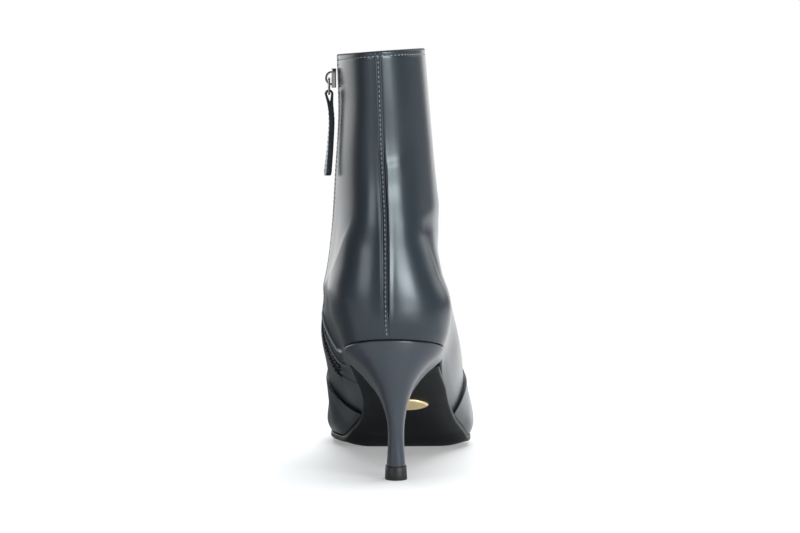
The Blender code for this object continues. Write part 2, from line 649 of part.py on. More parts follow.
def slider_place():
    """Where the hinge stands: clear of the upper's side all over the slider's footprint."""
    levels = np.linspace(RING_LEVELS[-2], RING_LEVELS[-1], SLIDER_PLACE_SAMPLES)
    middle = surface(zip_around(0.0, levels), levels)
    near = np.abs(middle[:, 2] - HINGE_Z) < SLIDER_TOP
    centre = middle[np.argmin(np.abs(middle[:, 2] - HINGE_Z))]
    edge = np.linspace(-SLIDER_WIDTH / 2, SLIDER_WIDTH / 2, SLIDER_EDGE_SAMPLES)[:, None]
    clear = surface(zip_around(edge, levels[near][None]), levels[near][None])[..., 0].min()
    return clear - SLIDER_STAND_OFF - HINGE_DEPTH, centre[1], HINGE_Z


def main():
    for old in list(bpy.data.objects):
        bpy.data.objects.remove(old)
    make_upper()
    make_vamp()
    make_outsole()
    make_insole()
    make_heel()
    make_top_piece()
    make_sole_plate()
    make_zip_tape()
    hinge = bpy.data.objects.new("pull_hinge", None)
    hinge.location = np.array(slider_place()) * MM
    bpy.context.scene.collection.objects.link(hinge)
    make_pull(hinge)


main()
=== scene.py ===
"""Looks of a right ankle boot in smooth leather: upper, seams, zip, sole and heel on a pale floor.

Lengths in the shape tables are millimetres; pieces are made in metres, in the part's own frame.
+Y runs to the toe, +X to the outer side and +Z up.
"""

import json
import math

import bmesh
import bpy
import numpy as np
from bpy.props import FloatProperty, FloatVectorProperty, PointerProperty
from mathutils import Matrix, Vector


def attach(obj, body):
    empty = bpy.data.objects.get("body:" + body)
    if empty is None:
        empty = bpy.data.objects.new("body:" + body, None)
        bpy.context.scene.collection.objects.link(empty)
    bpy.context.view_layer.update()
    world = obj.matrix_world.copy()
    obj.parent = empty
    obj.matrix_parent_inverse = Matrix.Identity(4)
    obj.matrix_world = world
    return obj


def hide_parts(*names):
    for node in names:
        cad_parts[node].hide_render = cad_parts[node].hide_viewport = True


bl_info = {
    "name": "Heeled ankle boot",
    "version": (1, 0, 0),
    "blender": (4, 5, 0),
    "location": "View3D > Sidebar > Boot",
    "description": "Dresses a heeled leather ankle boot piece by piece",
    "category": "Object",
}

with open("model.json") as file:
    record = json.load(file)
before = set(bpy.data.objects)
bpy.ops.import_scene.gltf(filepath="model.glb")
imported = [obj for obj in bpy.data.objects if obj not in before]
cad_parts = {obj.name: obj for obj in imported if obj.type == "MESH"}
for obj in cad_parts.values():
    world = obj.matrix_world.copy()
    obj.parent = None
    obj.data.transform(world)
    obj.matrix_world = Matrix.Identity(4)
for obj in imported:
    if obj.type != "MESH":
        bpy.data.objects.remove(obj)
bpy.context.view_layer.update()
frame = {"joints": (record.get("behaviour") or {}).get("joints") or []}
MM = 0.001
MM_PER_METRE = 1000.0
HINGE = np.array(frame["joints"][0]["pos_m"]) * MM_PER_METRE

# Shape of the boot, as in the part: sole profile, rings of the upper and their sides.
GAP = 0.3
SOLE_COLUMNS = ("y", "z", "slope")
SOLE_ROWS = (
    (-22.0, 75.0, -0.25),
    (18.0, 64.2, -0.31),
    (45.0, 51.5, -0.61),
    (90.0, 24.0, -0.60),
    (111.0, 11.6, -0.50),
    (128.0, 3.2, 0.0),
    (156.0, 3.2, 0.0),
    (226.0, 8.4, 0.15),
)
SOLE_THICKNESS = 3.2
SOLE_MARGIN = 1.7
SOLE_REAR_MARGIN = -1.5
SOLE_FULL_MARGIN_Y = 62.0
SOLE_REAR_Y = 34.0
SOLE_SLOPE_REACH = 0.5
TREAD_LIFT = 2.8
TREAD_LIFT_BAND = 15.0
TREAD_LIFT_FROM_Y = 55.0
TREAD_LIFT_FULL_Y = 122.0
INSOLE_THICKNESS = 2.0
INSOLE_INSET = 2.8
RING_COLUMNS = (
    "back_y", "back_z", "front_y", "front_z", "back_x", "front_x",
    "sole_share", "back_round", "front_round", "front_power",
)
RING_ROWS = (
    (-18.0, 0.0, 222.0, 0.0, -5.0, 5.0, 1.00, 26.0, 124.0, 1.68),
    (-21.3, 83.0, 225.0, 17.0, -5.8, 5.0, 0.97, 28.0, 122.0, 1.72),
    (-21.4, 94.0, 219.0, 28.0, -6.0, 5.0, 0.85, 31.0, 118.0, 1.80),
    (-20.5, 106.0, 197.0, 37.5, -6.0, 4.5, 0.62, 35.0, 108.0, 1.92),
    (-18.6, 120.0, 162.0, 48.0, -6.0, 2.0, 0.35, 40.0, 90.0, 2.00),
    (-16.0, 136.0, 128.0, 70.0, -6.2, -1.0, 0.15, 46.0, 70.0, 2.00),
    (-13.8, 154.0, 104.0, 101.0, -7.0, -4.0, 0.05, 52.0, 62.0, 2.00),
    (-13.6, 174.0, 91.0, 139.0, -8.0, -5.0, 0.00, 53.0, 53.0, 2.00),
    (-15.3, 197.0, 86.5, 180.0, -8.8, -5.6, 0.00, 50.0, 50.0, 2.00),
    (-17.0, 221.0, 86.0, 221.0, -9.8, -6.6, 0.00, 50.0, 50.0, 2.00),
)
STATION_Y = {"out": (15.0, 34.0, 62.0, 95.0, 148.0), "in": (15.0, 34.0, 62.0, 95.0, 164.0)}
SIDE_COLUMNS = (
    "heel_out", "breast_out", "quarter_out", "waist_out", "ball_out",
    "heel_in", "breast_in", "quarter_in", "waist_in", "ball_in",
)
SIDE_ROWS = (
    (25.0, 25.2, 27.3, 33.0, 50.4, -26.8, -24.6, -16.0, -14.6, -38.2),
    (27.5, 28.4, 31.4, 36.5, 50.9, -29.5, -30.0, -28.7, -24.8, -38.8),
    (29.0, 31.1, 35.3, 39.0, 47.4, -33.0, -34.3, -35.3, -33.0, -35.0),
    (28.5, 30.6, 35.0, 39.0, 40.4, -33.5, -35.9, -38.2, -35.2, -31.2),
    (26.8, 28.3, 31.5, 34.5, 32.4, -32.5, -35.2, -37.4, -33.5, -27.4),
    (24.8, 25.1, 26.1, 27.0, 22.0, -32.0, -34.0, -34.9, -30.0, -22.0),
    (24.0, 24.7, 25.5, 25.4, 25.4, -31.5, -32.3, -33.3, -33.1, -33.1),
    (21.8, 21.8, 21.8, 21.8, 21.8, -31.0, -31.0, -31.0, -31.0, -31.0),
    (18.8, 18.8, 18.8, 18.8, 18.8, -29.2, -29.2, -29.2, -29.2, -29.2),
    (16.0, 16.0, 16.0, 16.0, 16.0, -30.0, -30.0, -30.0, -30.0, -30.0),
)
COLLAR_TILT = 0.07
COLLAR_TILT_POWER = 6.0
ROUND_POWER = 2.0
OFFSET_LEVEL_BAND = 0.6
NORMAL_STEP = 2e-3
VAMP_START = 0.482
VAMP_PEAK_LEVEL = 5.2
VAMP_RISE_POWER = 0.4
VAMP_STAND = 1.6
ZIP_TOP_Y = 27.0
ZIP_END_Y = 62.0
ZIP_BEND = 1.3
ZIP_END_LEVEL = 0.85
ZIP_TOP_LEVEL = 8.96
SLIT_HALF = 2.8
HEEL_COLUMNS = (
    "back_y", "back_z", "front_y", "front_z", "out_x", "in_x", "back_round", "front_round",
)
HEEL_ROWS = (
    (-5.9, 7.3, 5.2, 7.3, 4.8, -4.8, 5.0, 1.2),
    (-6.4, 18.5, 4.7, 18.5, 4.15, -4.15, 5.0, 1.4),
    (-7.7, 27.5, 5.0, 26.8, 4.15, -4.25, 5.6, 1.6),
    (-9.2, 35.5, 6.4, 33.0, 5.0, -5.4, 7.0, 2.0),
    (-11.0, 43.0, 8.8, 38.0, 6.4, -7.2, 9.0, 2.2),
    (-13.2, 50.5, 12.5, 42.5, 8.4, -9.6, 11.0, 2.2),
    (-15.2, 57.5, 17.5, 46.8, 11.6, -13.2, 14.0, 2.0),
    (-16.8, 64.3, 24.5, 51.6, 16.6, -17.8, 18.5, 1.6),
    (-17.6, 69.5, 30.5, 55.8, 22.2, -22.9, 23.5, 1.2),
    (-18.0, 0.0, 33.6, 0.0, 25.0, -26.8, 26.0, 1.0),
)
TIP_COLUMNS = ("z", "back_y", "front_y", "half_width", "back_round", "front_round")
TIP_ROWS = (
    (0.0, -6.2, 5.6, 5.5, 5.8, 1.5),
    (0.4, -6.4, 5.8, 5.7, 5.8, 1.5),
    (6.5, -6.25, 5.65, 5.45, 5.6, 1.5),
    (7.0, -6.0, 5.4, 5.2, 5.6, 1.5),
)
PLATE_X = 8.5
PLATE_Y = 75.5
PLATE_HALF_WIDTH = 11.3
PLATE_HALF_LENGTH = 5.4
PLATE_TAPER_POWER = 0.7
PLATE_FACE = -4.2
PLATE_EDGE = -3.3
PLATE_POINT = 0.04

# Folds of the leather seen from behind: a line through three points, how far it stands out, and for
# the left and the right of the line's way its spread and how sharply it starts (1 sharp, 2 round).
CREASE_COLUMNS = ("x0", "z0", "x1", "z1", "x2", "z2", "rise", "left", "left_power", "right", "right_power")
CREASE_ROWS = (
    (12.6, 138.5, 20.5, 117.5, 29.2, 90.0, -2.0, 14.0, 2.0, 5.0, 1.0),
    (-22.5, 137.0, -30.0, 111.5, -41.0, 86.0, 1.8, 9.0, 2.0, 2.6, 1.0),
    (-8.0, 161.0, -2.0, 162.0, 6.0, 165.0, 0.4, 3.0, 2.0, 10.0, 2.0),
)
CREASE_SAMPLES = 60
CREASE_FADE = 0.3
CREASE_BACK_Y = (70.0, 45.0)


def table(columns, rows):
    """The rows as named columns of numbers."""
    return dict(zip(columns, np.array(rows, float).T))


def through(knots, values, at, slopes=None):
    """A smooth curve through the values at the knots, which may differ from point to point."""
    knots = np.asarray(knots, float)
    values = np.asarray(values, float)
    at = np.clip(np.asarray(at, float), knots[0], knots[-1])
    if slopes is None:
        slopes = np.gradient(values, knots, axis=0)
    i = np.clip(np.searchsorted(knots, at, side="right") - 1, 0, len(knots) - 2)
    width = knots[i + 1] - knots[i]
    f = (at - knots[i]) / width
    if values.ndim == 1:
        low, high = i, i + 1
    else:
        low, high = (i, np.arange(len(at))), (i + 1, np.arange(len(at)))
    rise = values[low] * (1 + 2 * f) * (1 - f) ** 2 + values[high] * f * f * (3 - 2 * f)
    return rise + width * (slopes[low] * f * (1 - f) ** 2 - slopes[high] * f * f * (1 - f))


def smooth_step(low, high, at):
    """A soft rise from 0 at low to 1 at high; low may be the larger of the two."""
    f = np.clip((np.asarray(at, float) - low) / (high - low), 0.0, 1.0)
    return f * f * (3 - 2 * f)


def grown_from(least, ends, at):
    """A soft rise from this least share to 1 between the ends."""
    return least + (1 - least) * smooth_step(*ends, at)


def bump(at, middle, spread):
    """A soft hump of height one."""
    return np.exp(-(((at - middle) / spread) ** 2))


def rounding(share, power):
    """The share of full width left at this share of the way in from a rounded end."""
    return (1 - (1 - np.clip(share, 0.0, 1.0)) ** power) ** (1 / power)


def edge_drop(distance, radius):
    """How far a rounded edge has fallen at this distance in from it."""
    return radius * (1 - rounding(distance / radius, ROUND_POWER))


def along(step):
    """Steps from 0 to 1 that gather at both ends, where outlines turn most."""
    return (1 - np.cos(np.pi * np.asarray(step, float))) / 2


SOLE = table(SOLE_COLUMNS, SOLE_ROWS)


def sole_height(y, from_edge):
    """The sole's top at y, this far in from its edge: flat in the middle, lifted at the rim."""
    lift = TREAD_LIFT * smooth_step(TREAD_LIFT_FROM_Y, TREAD_LIFT_FULL_Y, y)
    near = 1 - np.clip(from_edge / TREAD_LIFT_BAND, 0.0, 1.0)
    return through(SOLE["y"], SOLE["z"], y, SOLE["slope"]) + lift * near**2


def off_sole(x, y, from_edge, raised):
    """Points this far above the sole's top, square to its profile."""
    slope = sole_height(y + SOLE_SLOPE_REACH, from_edge) - sole_height(y - SOLE_SLOPE_REACH, from_edge)
    slope = slope / (2 * SOLE_SLOPE_REACH)
    steep = np.sqrt(1 + slope**2)
    z = sole_height(y, from_edge) + raised / steep
    return np.stack([x, y - raised * slope / steep, z], axis=-1)


RINGS = table(RING_COLUMNS, RING_ROWS)
SIDES = table(SIDE_COLUMNS, SIDE_ROWS)
RING_LEVELS = np.arange(len(RING_ROWS), dtype=float)
COLLAR_LEVEL = RING_LEVELS[-1]
for end in ("back", "front"):
    RINGS[end + "_z"][0] = sole_height(RINGS[end + "_y"][0], 0.0) + GAP


def sole_sag(t):
    """How far the sole's edge hangs below the straight line from its back to its front."""
    y = RINGS["back_y"][0] + (RINGS["front_y"][0] - RINGS["back_y"][0]) * t
    chord = RINGS["back_z"][0] + (RINGS["front_z"][0] - RINGS["back_z"][0]) * t
    return sole_height(y, 0.0) + GAP - chord


def side_at(side, y, level):
    """How far out one side of the upper stands at y, on this level."""
    names = [name for name in SIDE_COLUMNS if name.endswith(side)]
    stations = np.array([through(RING_LEVELS, SIDES[name], level) for name in names])
    slopes = np.gradient(stations, np.array(STATION_Y[side]), axis=0)
    slopes[[0, -1]] = 0.0
    return through(STATION_Y[side], stations, y, slopes)


def surface(around, level):
    """The upper's outside. Around runs from 0 at the back by the outer side to 2; level counts rings."""
    around, level = np.broadcast_arrays(np.asarray(around, float) % 2.0, np.asarray(level, float))
    shape = around.shape
    around, level = around.ravel(), level.ravel()
    t = along(np.where(around <= 1.0, around, 2.0 - around))
    ring = {name: through(RING_LEVELS, column, level) for name, column in RINGS.items()}
    y = ring["back_y"] + (ring["front_y"] - ring["back_y"]) * t
    centre = ring["back_x"] + (ring["front_x"] - ring["back_x"]) * t
    side = np.where(around <= 1.0, side_at("out", y, level), side_at("in", y, level))
    reach = rounding((y - ring["back_y"]) / ring["back_round"], ROUND_POWER)
    reach = reach * rounding((ring["front_y"] - y) / ring["front_round"], ring["front_power"])
    across = (side - centre) * reach
    z = ring["back_z"] + (ring["front_z"] - ring["back_z"]) * t + ring["sole_share"] * sole_sag(t)
    z = z + COLLAR_TILT * across * (level / COLLAR_LEVEL) ** COLLAR_TILT_POWER
    return np.stack([centre + across, y, z], axis=-1).reshape(shape + (3,))


def outward(around, level):
    """Unit normals of the upper's outside, level with the ground at the sole's edge."""
    around, level = np.broadcast_arrays(np.asarray(around, float), np.asarray(level, float))
    step = NORMAL_STEP
    run = surface(around + step, level) - surface(around - step, level)
    high, low = np.minimum(level + step, COLLAR_LEVEL), np.maximum(level - step, 0.0)
    rise = surface(around, high) - surface(around, low)
    normal = np.cross(run, rise)
    normal = normal / np.linalg.norm(normal, axis=-1, keepdims=True)
    normal[..., 2] *= smooth_step(0.0, OFFSET_LEVEL_BAND, level)
    return normal / np.linalg.norm(normal, axis=-1, keepdims=True)


def offset(around, level, height):
    """Points this far off the upper's outside."""
    return surface(around, level) + outward(around, level) * np.asarray(height, float)[..., None]


def around_at(t, outer):
    """The place around a ring that lies this share of the way from its back to its front."""
    step = np.arccos(np.clip(1 - 2 * np.asarray(t, float), -1.0, 1.0)) / np.pi
    return step if outer else 2.0 - step


def zip_y(level):
    """Where the zip's middle line stands along the boot."""
    down = (COLLAR_LEVEL - level) / (COLLAR_LEVEL - ZIP_END_LEVEL)
    return ZIP_TOP_Y + (ZIP_END_Y - ZIP_TOP_Y) * np.clip(down, 0.0, 1.0) ** ZIP_BEND


def zip_around(across, level):
    """The place around a ring that lies this far in front of the zip's middle line."""
    back = through(RING_LEVELS, RINGS["back_y"], level)
    front = through(RING_LEVELS, RINGS["front_y"], level)
    return around_at((zip_y(level) + across - back) / (front - back), False)


def seam_scale(level):
    """Millimetres that one step of around covers beside the back seam."""
    step = NORMAL_STEP
    return np.linalg.norm(surface(step, level) - surface(0.0, level), axis=-1) / step


def level_length(level):
    """Millimetres that one level covers up the back of the collar."""
    step = NORMAL_STEP
    return np.linalg.norm(surface(0.0, level) - surface(0.0, level - step), axis=-1) / step


class BootSizes(bpy.types.PropertyGroup):
    """Sizes of the leather, its seams and the zip."""

    wall: FloatProperty(
        name="Wall", description="Leather and lining together", default=0.0018, unit="LENGTH")
    collar_round: FloatProperty(
        name="Collar edge", description="Radius of the folded collar edge", default=0.0009, unit="LENGTH")
    slit_round: FloatProperty(
        name="Zip edge", description="Radius of the folded edges beside the zip", default=0.0009,
        unit="LENGTH")
    seam_half: FloatProperty(
        name="Seam strip", description="Half the width of the sunk back strip", default=0.0013, unit="LENGTH")
    seam_sink: FloatProperty(
        name="Seam depth", description="Depth of the sunk back strip", default=0.00045, unit="LENGTH")
    seam_lip: FloatProperty(
        name="Seam lip", description="Swell of the leather on both sides of the strip", default=0.0004,
        unit="LENGTH")
    stitch_pitch: FloatProperty(
        name="Stitch pitch", description="From one stitch to the next", default=0.0024, unit="LENGTH")
    stitch_length: FloatProperty(
        name="Stitch length", description="Thread that shows of one stitch", default=0.0016, unit="LENGTH")
    thread: FloatProperty(
        name="Thread", description="Width of the sewing thread", default=0.0006, unit="LENGTH")
    collar_row: FloatProperty(
        name="Collar row", description="Stitch row below the collar edge", default=0.0026, unit="LENGTH")
    zip_row: FloatProperty(
        name="Zip row", description="Stitch row beside the zip's edges", default=0.0024, unit="LENGTH")
    fold_rise: FloatProperty(
        name="Fold rise", description="Height of the rolled seam behind the zip", default=0.0014,
        unit="LENGTH")
    tooth_pitch: FloatProperty(
        name="Tooth pitch", description="From one zip tooth to the next", default=0.0015, unit="LENGTH")


class BootColours(bpy.types.PropertyGroup):
    """Colours of the leathers, threads, metals and sole."""

    leather: FloatVectorProperty(
        name="Leather", description="Slate upper leather", subtype="COLOR", default=(0.024, 0.032, 0.040))
    heel: FloatVectorProperty(
        name="Heel", description="Leather cover of the heel", subtype="COLOR", default=(0.038, 0.044, 0.057))
    thread: FloatVectorProperty(
        name="Thread", description="Sewing thread", subtype="COLOR", default=(0.22, 0.24, 0.26))
    lining: FloatVectorProperty(
        name="Lining", description="Inside of the boot", subtype="COLOR", default=(0.022, 0.023, 0.026))
    # Also the colour that the sunk seam and fold lines of the upper are mixed toward, as painted shade.
    edge: FloatVectorProperty(
        name="Edge", description="Painted cut edges", subtype="COLOR", default=(0.006, 0.007, 0.009))
    # Painted highlight: this pale colour is laid on the crests of the rolled seam and the lip behind the zip,
    # in place of the bright reflection along them.
    pale: FloatVectorProperty(
        name="Rolled edge", description="Painted highlight on the rolled seam", subtype="COLOR", default=(0.50, 0.52, 0.55))
    sole: FloatVectorProperty(
        name="Sole", description="Black sole leather", subtype="COLOR", default=(0.005, 0.006, 0.007))
    rubber: FloatVectorProperty(
        name="Top piece", description="Rubber under the heel", subtype="COLOR", default=(0.014, 0.015, 0.017))
    tape: FloatVectorProperty(
        name="Zip tape", description="Woven tape and coil", subtype="COLOR", default=(0.006, 0.006, 0.007))
    metal: FloatVectorProperty(
        name="Zip metal", description="Dark nickel of slider and link", subtype="COLOR",
        default=(0.30, 0.29, 0.28))
    gold: FloatVectorProperty(
        name="Plate", description="Gold plate under the waist", subtype="COLOR", default=(1.0, 0.77, 0.44))


class BootStudio(bpy.types.PropertyGroup):
    """Camera and light."""

    camera: FloatVectorProperty(
        name="Camera", description="Where the camera stands", subtype="XYZ", unit="LENGTH",
        default=(-0.0476, -1.506, 0.220))
    target: FloatVectorProperty(
        name="Target", description="What the camera looks at", subtype="XYZ", unit="LENGTH",
        default=(0.004, 0.060, 0.106))
    lens: FloatProperty(
        name="Lens", description="Focal length on a 36 mm wide frame", default=132.0)
    left_power: FloatProperty(
        name="Left", description="Soft light to the left of the camera", default=4.2, unit="POWER")
    right_power: FloatProperty(
        name="Right", description="Soft light to the right of the camera", default=16.0, unit="POWER")
    top_power: FloatProperty(
        name="Top", description="Soft light above the boot", default=38.0, unit="POWER")


def sizes():
    """The sizes as the user has set them."""
    return bpy.context.scene.boot_sizes


def colours():
    """The colours as the user has set them."""
    return bpy.context.scene.boot_colours


def in_mm(length):
    """A length in metres, in millimetres."""
    return length / MM


def new_material(name):
    """A material, its shader, and a function that adds a node to it."""
    made = bpy.data.materials.new(name)
    made.use_nodes = True
    return made, made.node_tree.nodes["Principled BSDF"], adder(made.node_tree)


def adder(tree):
    """A function that adds a node with these inputs and settings to the tree."""

    def add(kind, inputs=None, **settings):
        node = tree.nodes.new(kind)
        for key, value in settings.items():
            setattr(node, key, value)
        for key, value in (inputs or {}).items():
            socket = node.inputs[key]
            if isinstance(value, bpy.types.NodeSocket):
                tree.links.new(value, socket)
            else:
                socket.default_value = value
        return node

    return add


def new_group(name, kind, sockets):
    """A node group with these inputs and outputs: (way, name, type, default)."""
    tree = bpy.data.node_groups.new(name, kind)
    for way, label, socket_type, default in sockets:
        made = tree.interface.new_socket(label, in_out=way, socket_type="NodeSocket" + socket_type)
        if default is not None:
            made.default_value = default
    add = adder(tree)
    return tree, add, add("NodeGroupInput").outputs, add("NodeGroupOutput").inputs


CLOUD_DETAIL = 3.0
CLOUD_ROUGHNESS = 0.55
CLOUD_MIDDLE = 0.5
HAIR_DETAIL = 2.0
HAIR_ROUGHNESS = 0.6


def tone_group():
    """Cloudy tone and fine grain shared by the leathers, sole, rubber, threads and metals."""
    name = "Tone and grain"
    if name in bpy.data.node_groups:
        return bpy.data.node_groups[name]
    tree, add, given, out = new_group(name, "ShaderNodeTree", (
        ("INPUT", "Place", "Vector", None),
        ("INPUT", "Colour", "Color", (0.5, 0.5, 0.5, 1.0)),
        ("INPUT", "Cloud Scale", "Float", 30.0),
        ("INPUT", "Cloud Amount", "Float", 0.15),
        ("INPUT", "Grain Scale", "Float", 900.0),
        ("INPUT", "Roughness", "Float", 0.4),
        ("INPUT", "Roughness Spread", "Float", 0.08),
        ("OUTPUT", "Colour", "Color", None),
        ("OUTPUT", "Roughness", "Float", None),
        ("OUTPUT", "Height", "Float", None),
    ))
    cloud = add("ShaderNodeTexNoise", {
        "Vector": given["Place"], "Scale": given["Cloud Scale"], "Detail": CLOUD_DETAIL,
        "Roughness": CLOUD_ROUGHNESS})
    pores = add("ShaderNodeTexVoronoi", {"Vector": given["Place"], "Scale": given["Grain Scale"]})
    hairs = add("ShaderNodeTexNoise", {
        "Vector": given["Place"], "Scale": given["Grain Scale"], "Detail": HAIR_DETAIL,
        "Roughness": HAIR_ROUGHNESS})
    centred = add("ShaderNodeMath", {0: cloud.outputs["Fac"], 1: CLOUD_MIDDLE}, operation="SUBTRACT")
    swing = add("ShaderNodeMath", {0: centred.outputs[0], 1: given["Cloud Amount"]}, operation="MULTIPLY")
    level = add("ShaderNodeMath", {0: swing.outputs[0], 1: 1.0}, operation="ADD")
    shade = add("ShaderNodeVectorMath", {0: given["Colour"], 3: level.outputs[0]}, operation="SCALE")
    spread = add("ShaderNodeMath", {
        0: centred.outputs[0], 1: given["Roughness Spread"], 2: given["Roughness"]}, operation="MULTIPLY_ADD")
    grain = add("ShaderNodeMath", {0: pores.outputs["Distance"], 1: hairs.outputs["Fac"]}, operation="ADD")
    for label, socket in (
        ("Colour", shade.outputs[0]), ("Roughness", spread.outputs[0]), ("Height", grain.outputs[0]),
    ):
        tree.links.new(socket, out[label])
    return tree


GROOVE_ROUGHER = 0.45
GRAIN_DEPTH = 1e-4
LEATHER_TINT = (0.88, 0.96, 1.0)


def finish_material(name, colour, roughness, grain, cloud, spread=0.1, metallic=0.0, coat=0.0,
                    coat_roughness=0.1, specular=0.5, tint=(1.0, 1.0, 1.0), painted_shade_and_highlight=False):
    """A finish with cloudy tone and a grain of this scale and depth, in the colour of this name; with the
    flag set, sunk seams get painted shade and rolled ones a painted highlight."""
    made, shader, add = new_material(name)
    shade = getattr(colours(), colour)
    tree = made.node_tree
    place = add("ShaderNodeTexCoord").outputs["Object"]
    tone = add("ShaderNodeGroup", node_tree=tone_group())
    tree.links.new(place, tone.inputs["Place"])
    for label, value in (
        ("Colour", (*shade, 1.0)), ("Cloud Scale", cloud[0]), ("Cloud Amount", cloud[1]),
        ("Grain Scale", grain[0]), ("Roughness", roughness), ("Roughness Spread", spread),
    ):
        tone.inputs[label].default_value = value
    shown, rough = tone.outputs["Colour"], tone.outputs["Roughness"]
    if painted_shade_and_highlight:
        depth = add("ShaderNodeAttribute", attribute_name="groove").outputs["Fac"]
        sunk = add("ShaderNodeMath", {0: depth, 1: 0.0}, operation="MAXIMUM").outputs[0]
        raised = add("ShaderNodeMath", {0: depth, 1: -1.0}, operation="MULTIPLY").outputs[0]
        # Painted highlight: where the groove is below 0, the colour is mixed toward the pale colour of the
        # rolled crests.
        pale = add("ShaderNodeMix", {"Factor": raised}, data_type="RGBA")
        tree.links.new(shown, pale.inputs["A"])
        pale.inputs["B"].default_value = (*colours().pale, 1.0)
        # Painted shade in the sunk lines, and the darker collar band: where the groove is above 0, the colour
        # goes toward the edge colour.
        mixed = add("ShaderNodeMix", {"Factor": sunk}, data_type="RGBA")
        tree.links.new(pale.outputs["Result"], mixed.inputs["A"])
        mixed.inputs["B"].default_value = (*colours().edge, 1.0)
        shown = mixed.outputs["Result"]
        rougher = add("ShaderNodeMath", {0: sunk, 1: GROOVE_ROUGHER, 2: rough}, operation="MULTIPLY_ADD")
        rough = rougher.outputs[0]
    tree.links.new(shown, shader.inputs["Base Color"])
    tree.links.new(rough, shader.inputs["Roughness"])
    pored = add("ShaderNodeBump", {
        "Height": tone.outputs["Height"], "Strength": grain[1], "Distance": GRAIN_DEPTH})
    tree.links.new(pored.outputs["Normal"], shader.inputs["Normal"])
    shader.inputs["Metallic"].default_value = metallic
    shader.inputs["Specular IOR Level"].default_value = specular
    shader.inputs["Specular Tint"].default_value = (*tint, 1.0)
    shader.inputs["Coat Weight"].default_value = coat
    shader.inputs["Coat Roughness"].default_value = coat_roughness
    made.diffuse_color = (*shade, 1.0)
    return made


# Finishes: colour, roughness, grain (scale, depth), cloud (scale, amount) and what else sets each apart.
FINISHES = {
    "slate_leather": dict(
        colour="leather", roughness=0.31, grain=(1500.0, 0.05), cloud=(22.0, 0.22), spread=0.08,
        coat=0.05, coat_roughness=0.16, tint=LEATHER_TINT, painted_shade_and_highlight=True),
    "heel_leather": dict(
        colour="heel", roughness=0.36, grain=(1500.0, 0.08), cloud=(60.0, 0.16), coat=0.2,
        coat_roughness=0.2, tint=LEATHER_TINT),
    "edge_paint": dict(colour="edge", roughness=0.45, grain=(1200.0, 0.2), cloud=(90.0, 0.3)),
    "lining_leather": dict(colour="lining", roughness=0.62, grain=(1100.0, 0.25), cloud=(40.0, 0.3)),
    "black_sole_leather": dict(
        colour="sole", roughness=0.45, grain=(1000.0, 0.15), cloud=(35.0, 0.5), spread=0.2, specular=0.3),
    "top_piece_rubber": dict(colour="rubber", roughness=0.5, grain=(1300.0, 0.3), cloud=(200.0, 0.3)),
    "dark_nickel": dict(
        colour="metal", roughness=0.24, grain=(2500.0, 0.06), cloud=(250.0, 0.3), metallic=1.0),
    "satin_gold": dict(
        colour="gold", roughness=0.4, grain=(2200.0, 0.10), cloud=(180.0, 0.25), metallic=0.35),
    "sewing_thread": dict(colour="thread", roughness=0.5, grain=(4000.0, 0.3), cloud=(400.0, 0.4)),
    "zip_coil": dict(colour="tape", roughness=0.32, grain=(3000.0, 0.1), cloud=(300.0, 0.4)),
    "zip_facing": dict(
        colour="tape", roughness=0.75, grain=(1600.0, 0.5), cloud=(300.0, 0.4), specular=0.15),
}


def finish(name):
    """The material of this name, made when it is first asked for."""
    return bpy.data.materials.get(name) or finish_material(name, **FINISHES[name])


WEAVE_HALF_WIDTH = 1.2
WEAVE_PITCH = 0.6
WEAVE_SHADE = (0.5, 2.2)
WEAVE_BUMP = 0.5
WEAVE_DEPTH = 2e-4
WEAVE_ROUGHNESS = 0.7


def tape_material():
    """Black tape woven in a herringbone; the weave follows the tape's own map in millimetres."""
    made, shader, add = new_material("zip_weave")
    tree = made.node_tree
    place = add("ShaderNodeUVMap", uv_map="weave").outputs["UV"]
    parts = add("ShaderNodeSeparateXYZ", {"Vector": place})
    bend = add("ShaderNodeMath", {0: parts.outputs["X"], 1: WEAVE_HALF_WIDTH}, operation="PINGPONG")
    slant = add("ShaderNodeMath", {0: bend.outputs[0], 1: parts.outputs["Y"]}, operation="ADD")
    turns = add("ShaderNodeMath", {0: slant.outputs[0], 1: 2 * math.pi / WEAVE_PITCH}, operation="MULTIPLY")
    wave = add("ShaderNodeMath", {0: turns.outputs[0]}, operation="SINE")
    shade = add("ShaderNodeMapRange", {
        "Value": wave.outputs[0], "From Min": -1.0, "From Max": 1.0,
        "To Min": WEAVE_SHADE[0], "To Max": WEAVE_SHADE[1]})
    tint = add("ShaderNodeVectorMath", {0: colours().tape, 3: shade.outputs[0]}, operation="SCALE")
    tree.links.new(tint.outputs[0], shader.inputs["Base Color"])
    raised = add("ShaderNodeBump", {
        "Height": wave.outputs[0], "Strength": WEAVE_BUMP, "Distance": WEAVE_DEPTH})
    tree.links.new(raised.outputs["Normal"], shader.inputs["Normal"])
    shader.inputs["Roughness"].default_value = WEAVE_ROUGHNESS
    return made


SHARP_ANGLE = 40.0
TINY = 1e-6
# Places of a wall's materials: outside, inside, rim, and those cells of the outside that are faced.
OUTSIDE, INSIDE, RIM, FACED = range(4)
PLAIN_LOOKS = 3


def new_piece(name, points, faces, materials, slots=None, groove=None):
    """A smooth mesh from points in millimetres, with a material for each face."""
    mesh = bpy.data.meshes.new(name)
    mesh.from_pydata((np.asarray(points, float) * MM).tolist(), [], faces)
    for look in materials:
        mesh.materials.append(look)
    if slots is not None:
        mesh.polygons.foreach_set("material_index", np.asarray(slots, np.int32))
    # The groove attribute carries the leather's colour marks: painted shade and a darker collar band above 0,
    # painted highlight below 0.
    if groove is not None:
        mesh.attributes.new("groove", "FLOAT", "POINT").data.foreach_set("value", groove.astype(np.float32))
    return placed(name, mesh)


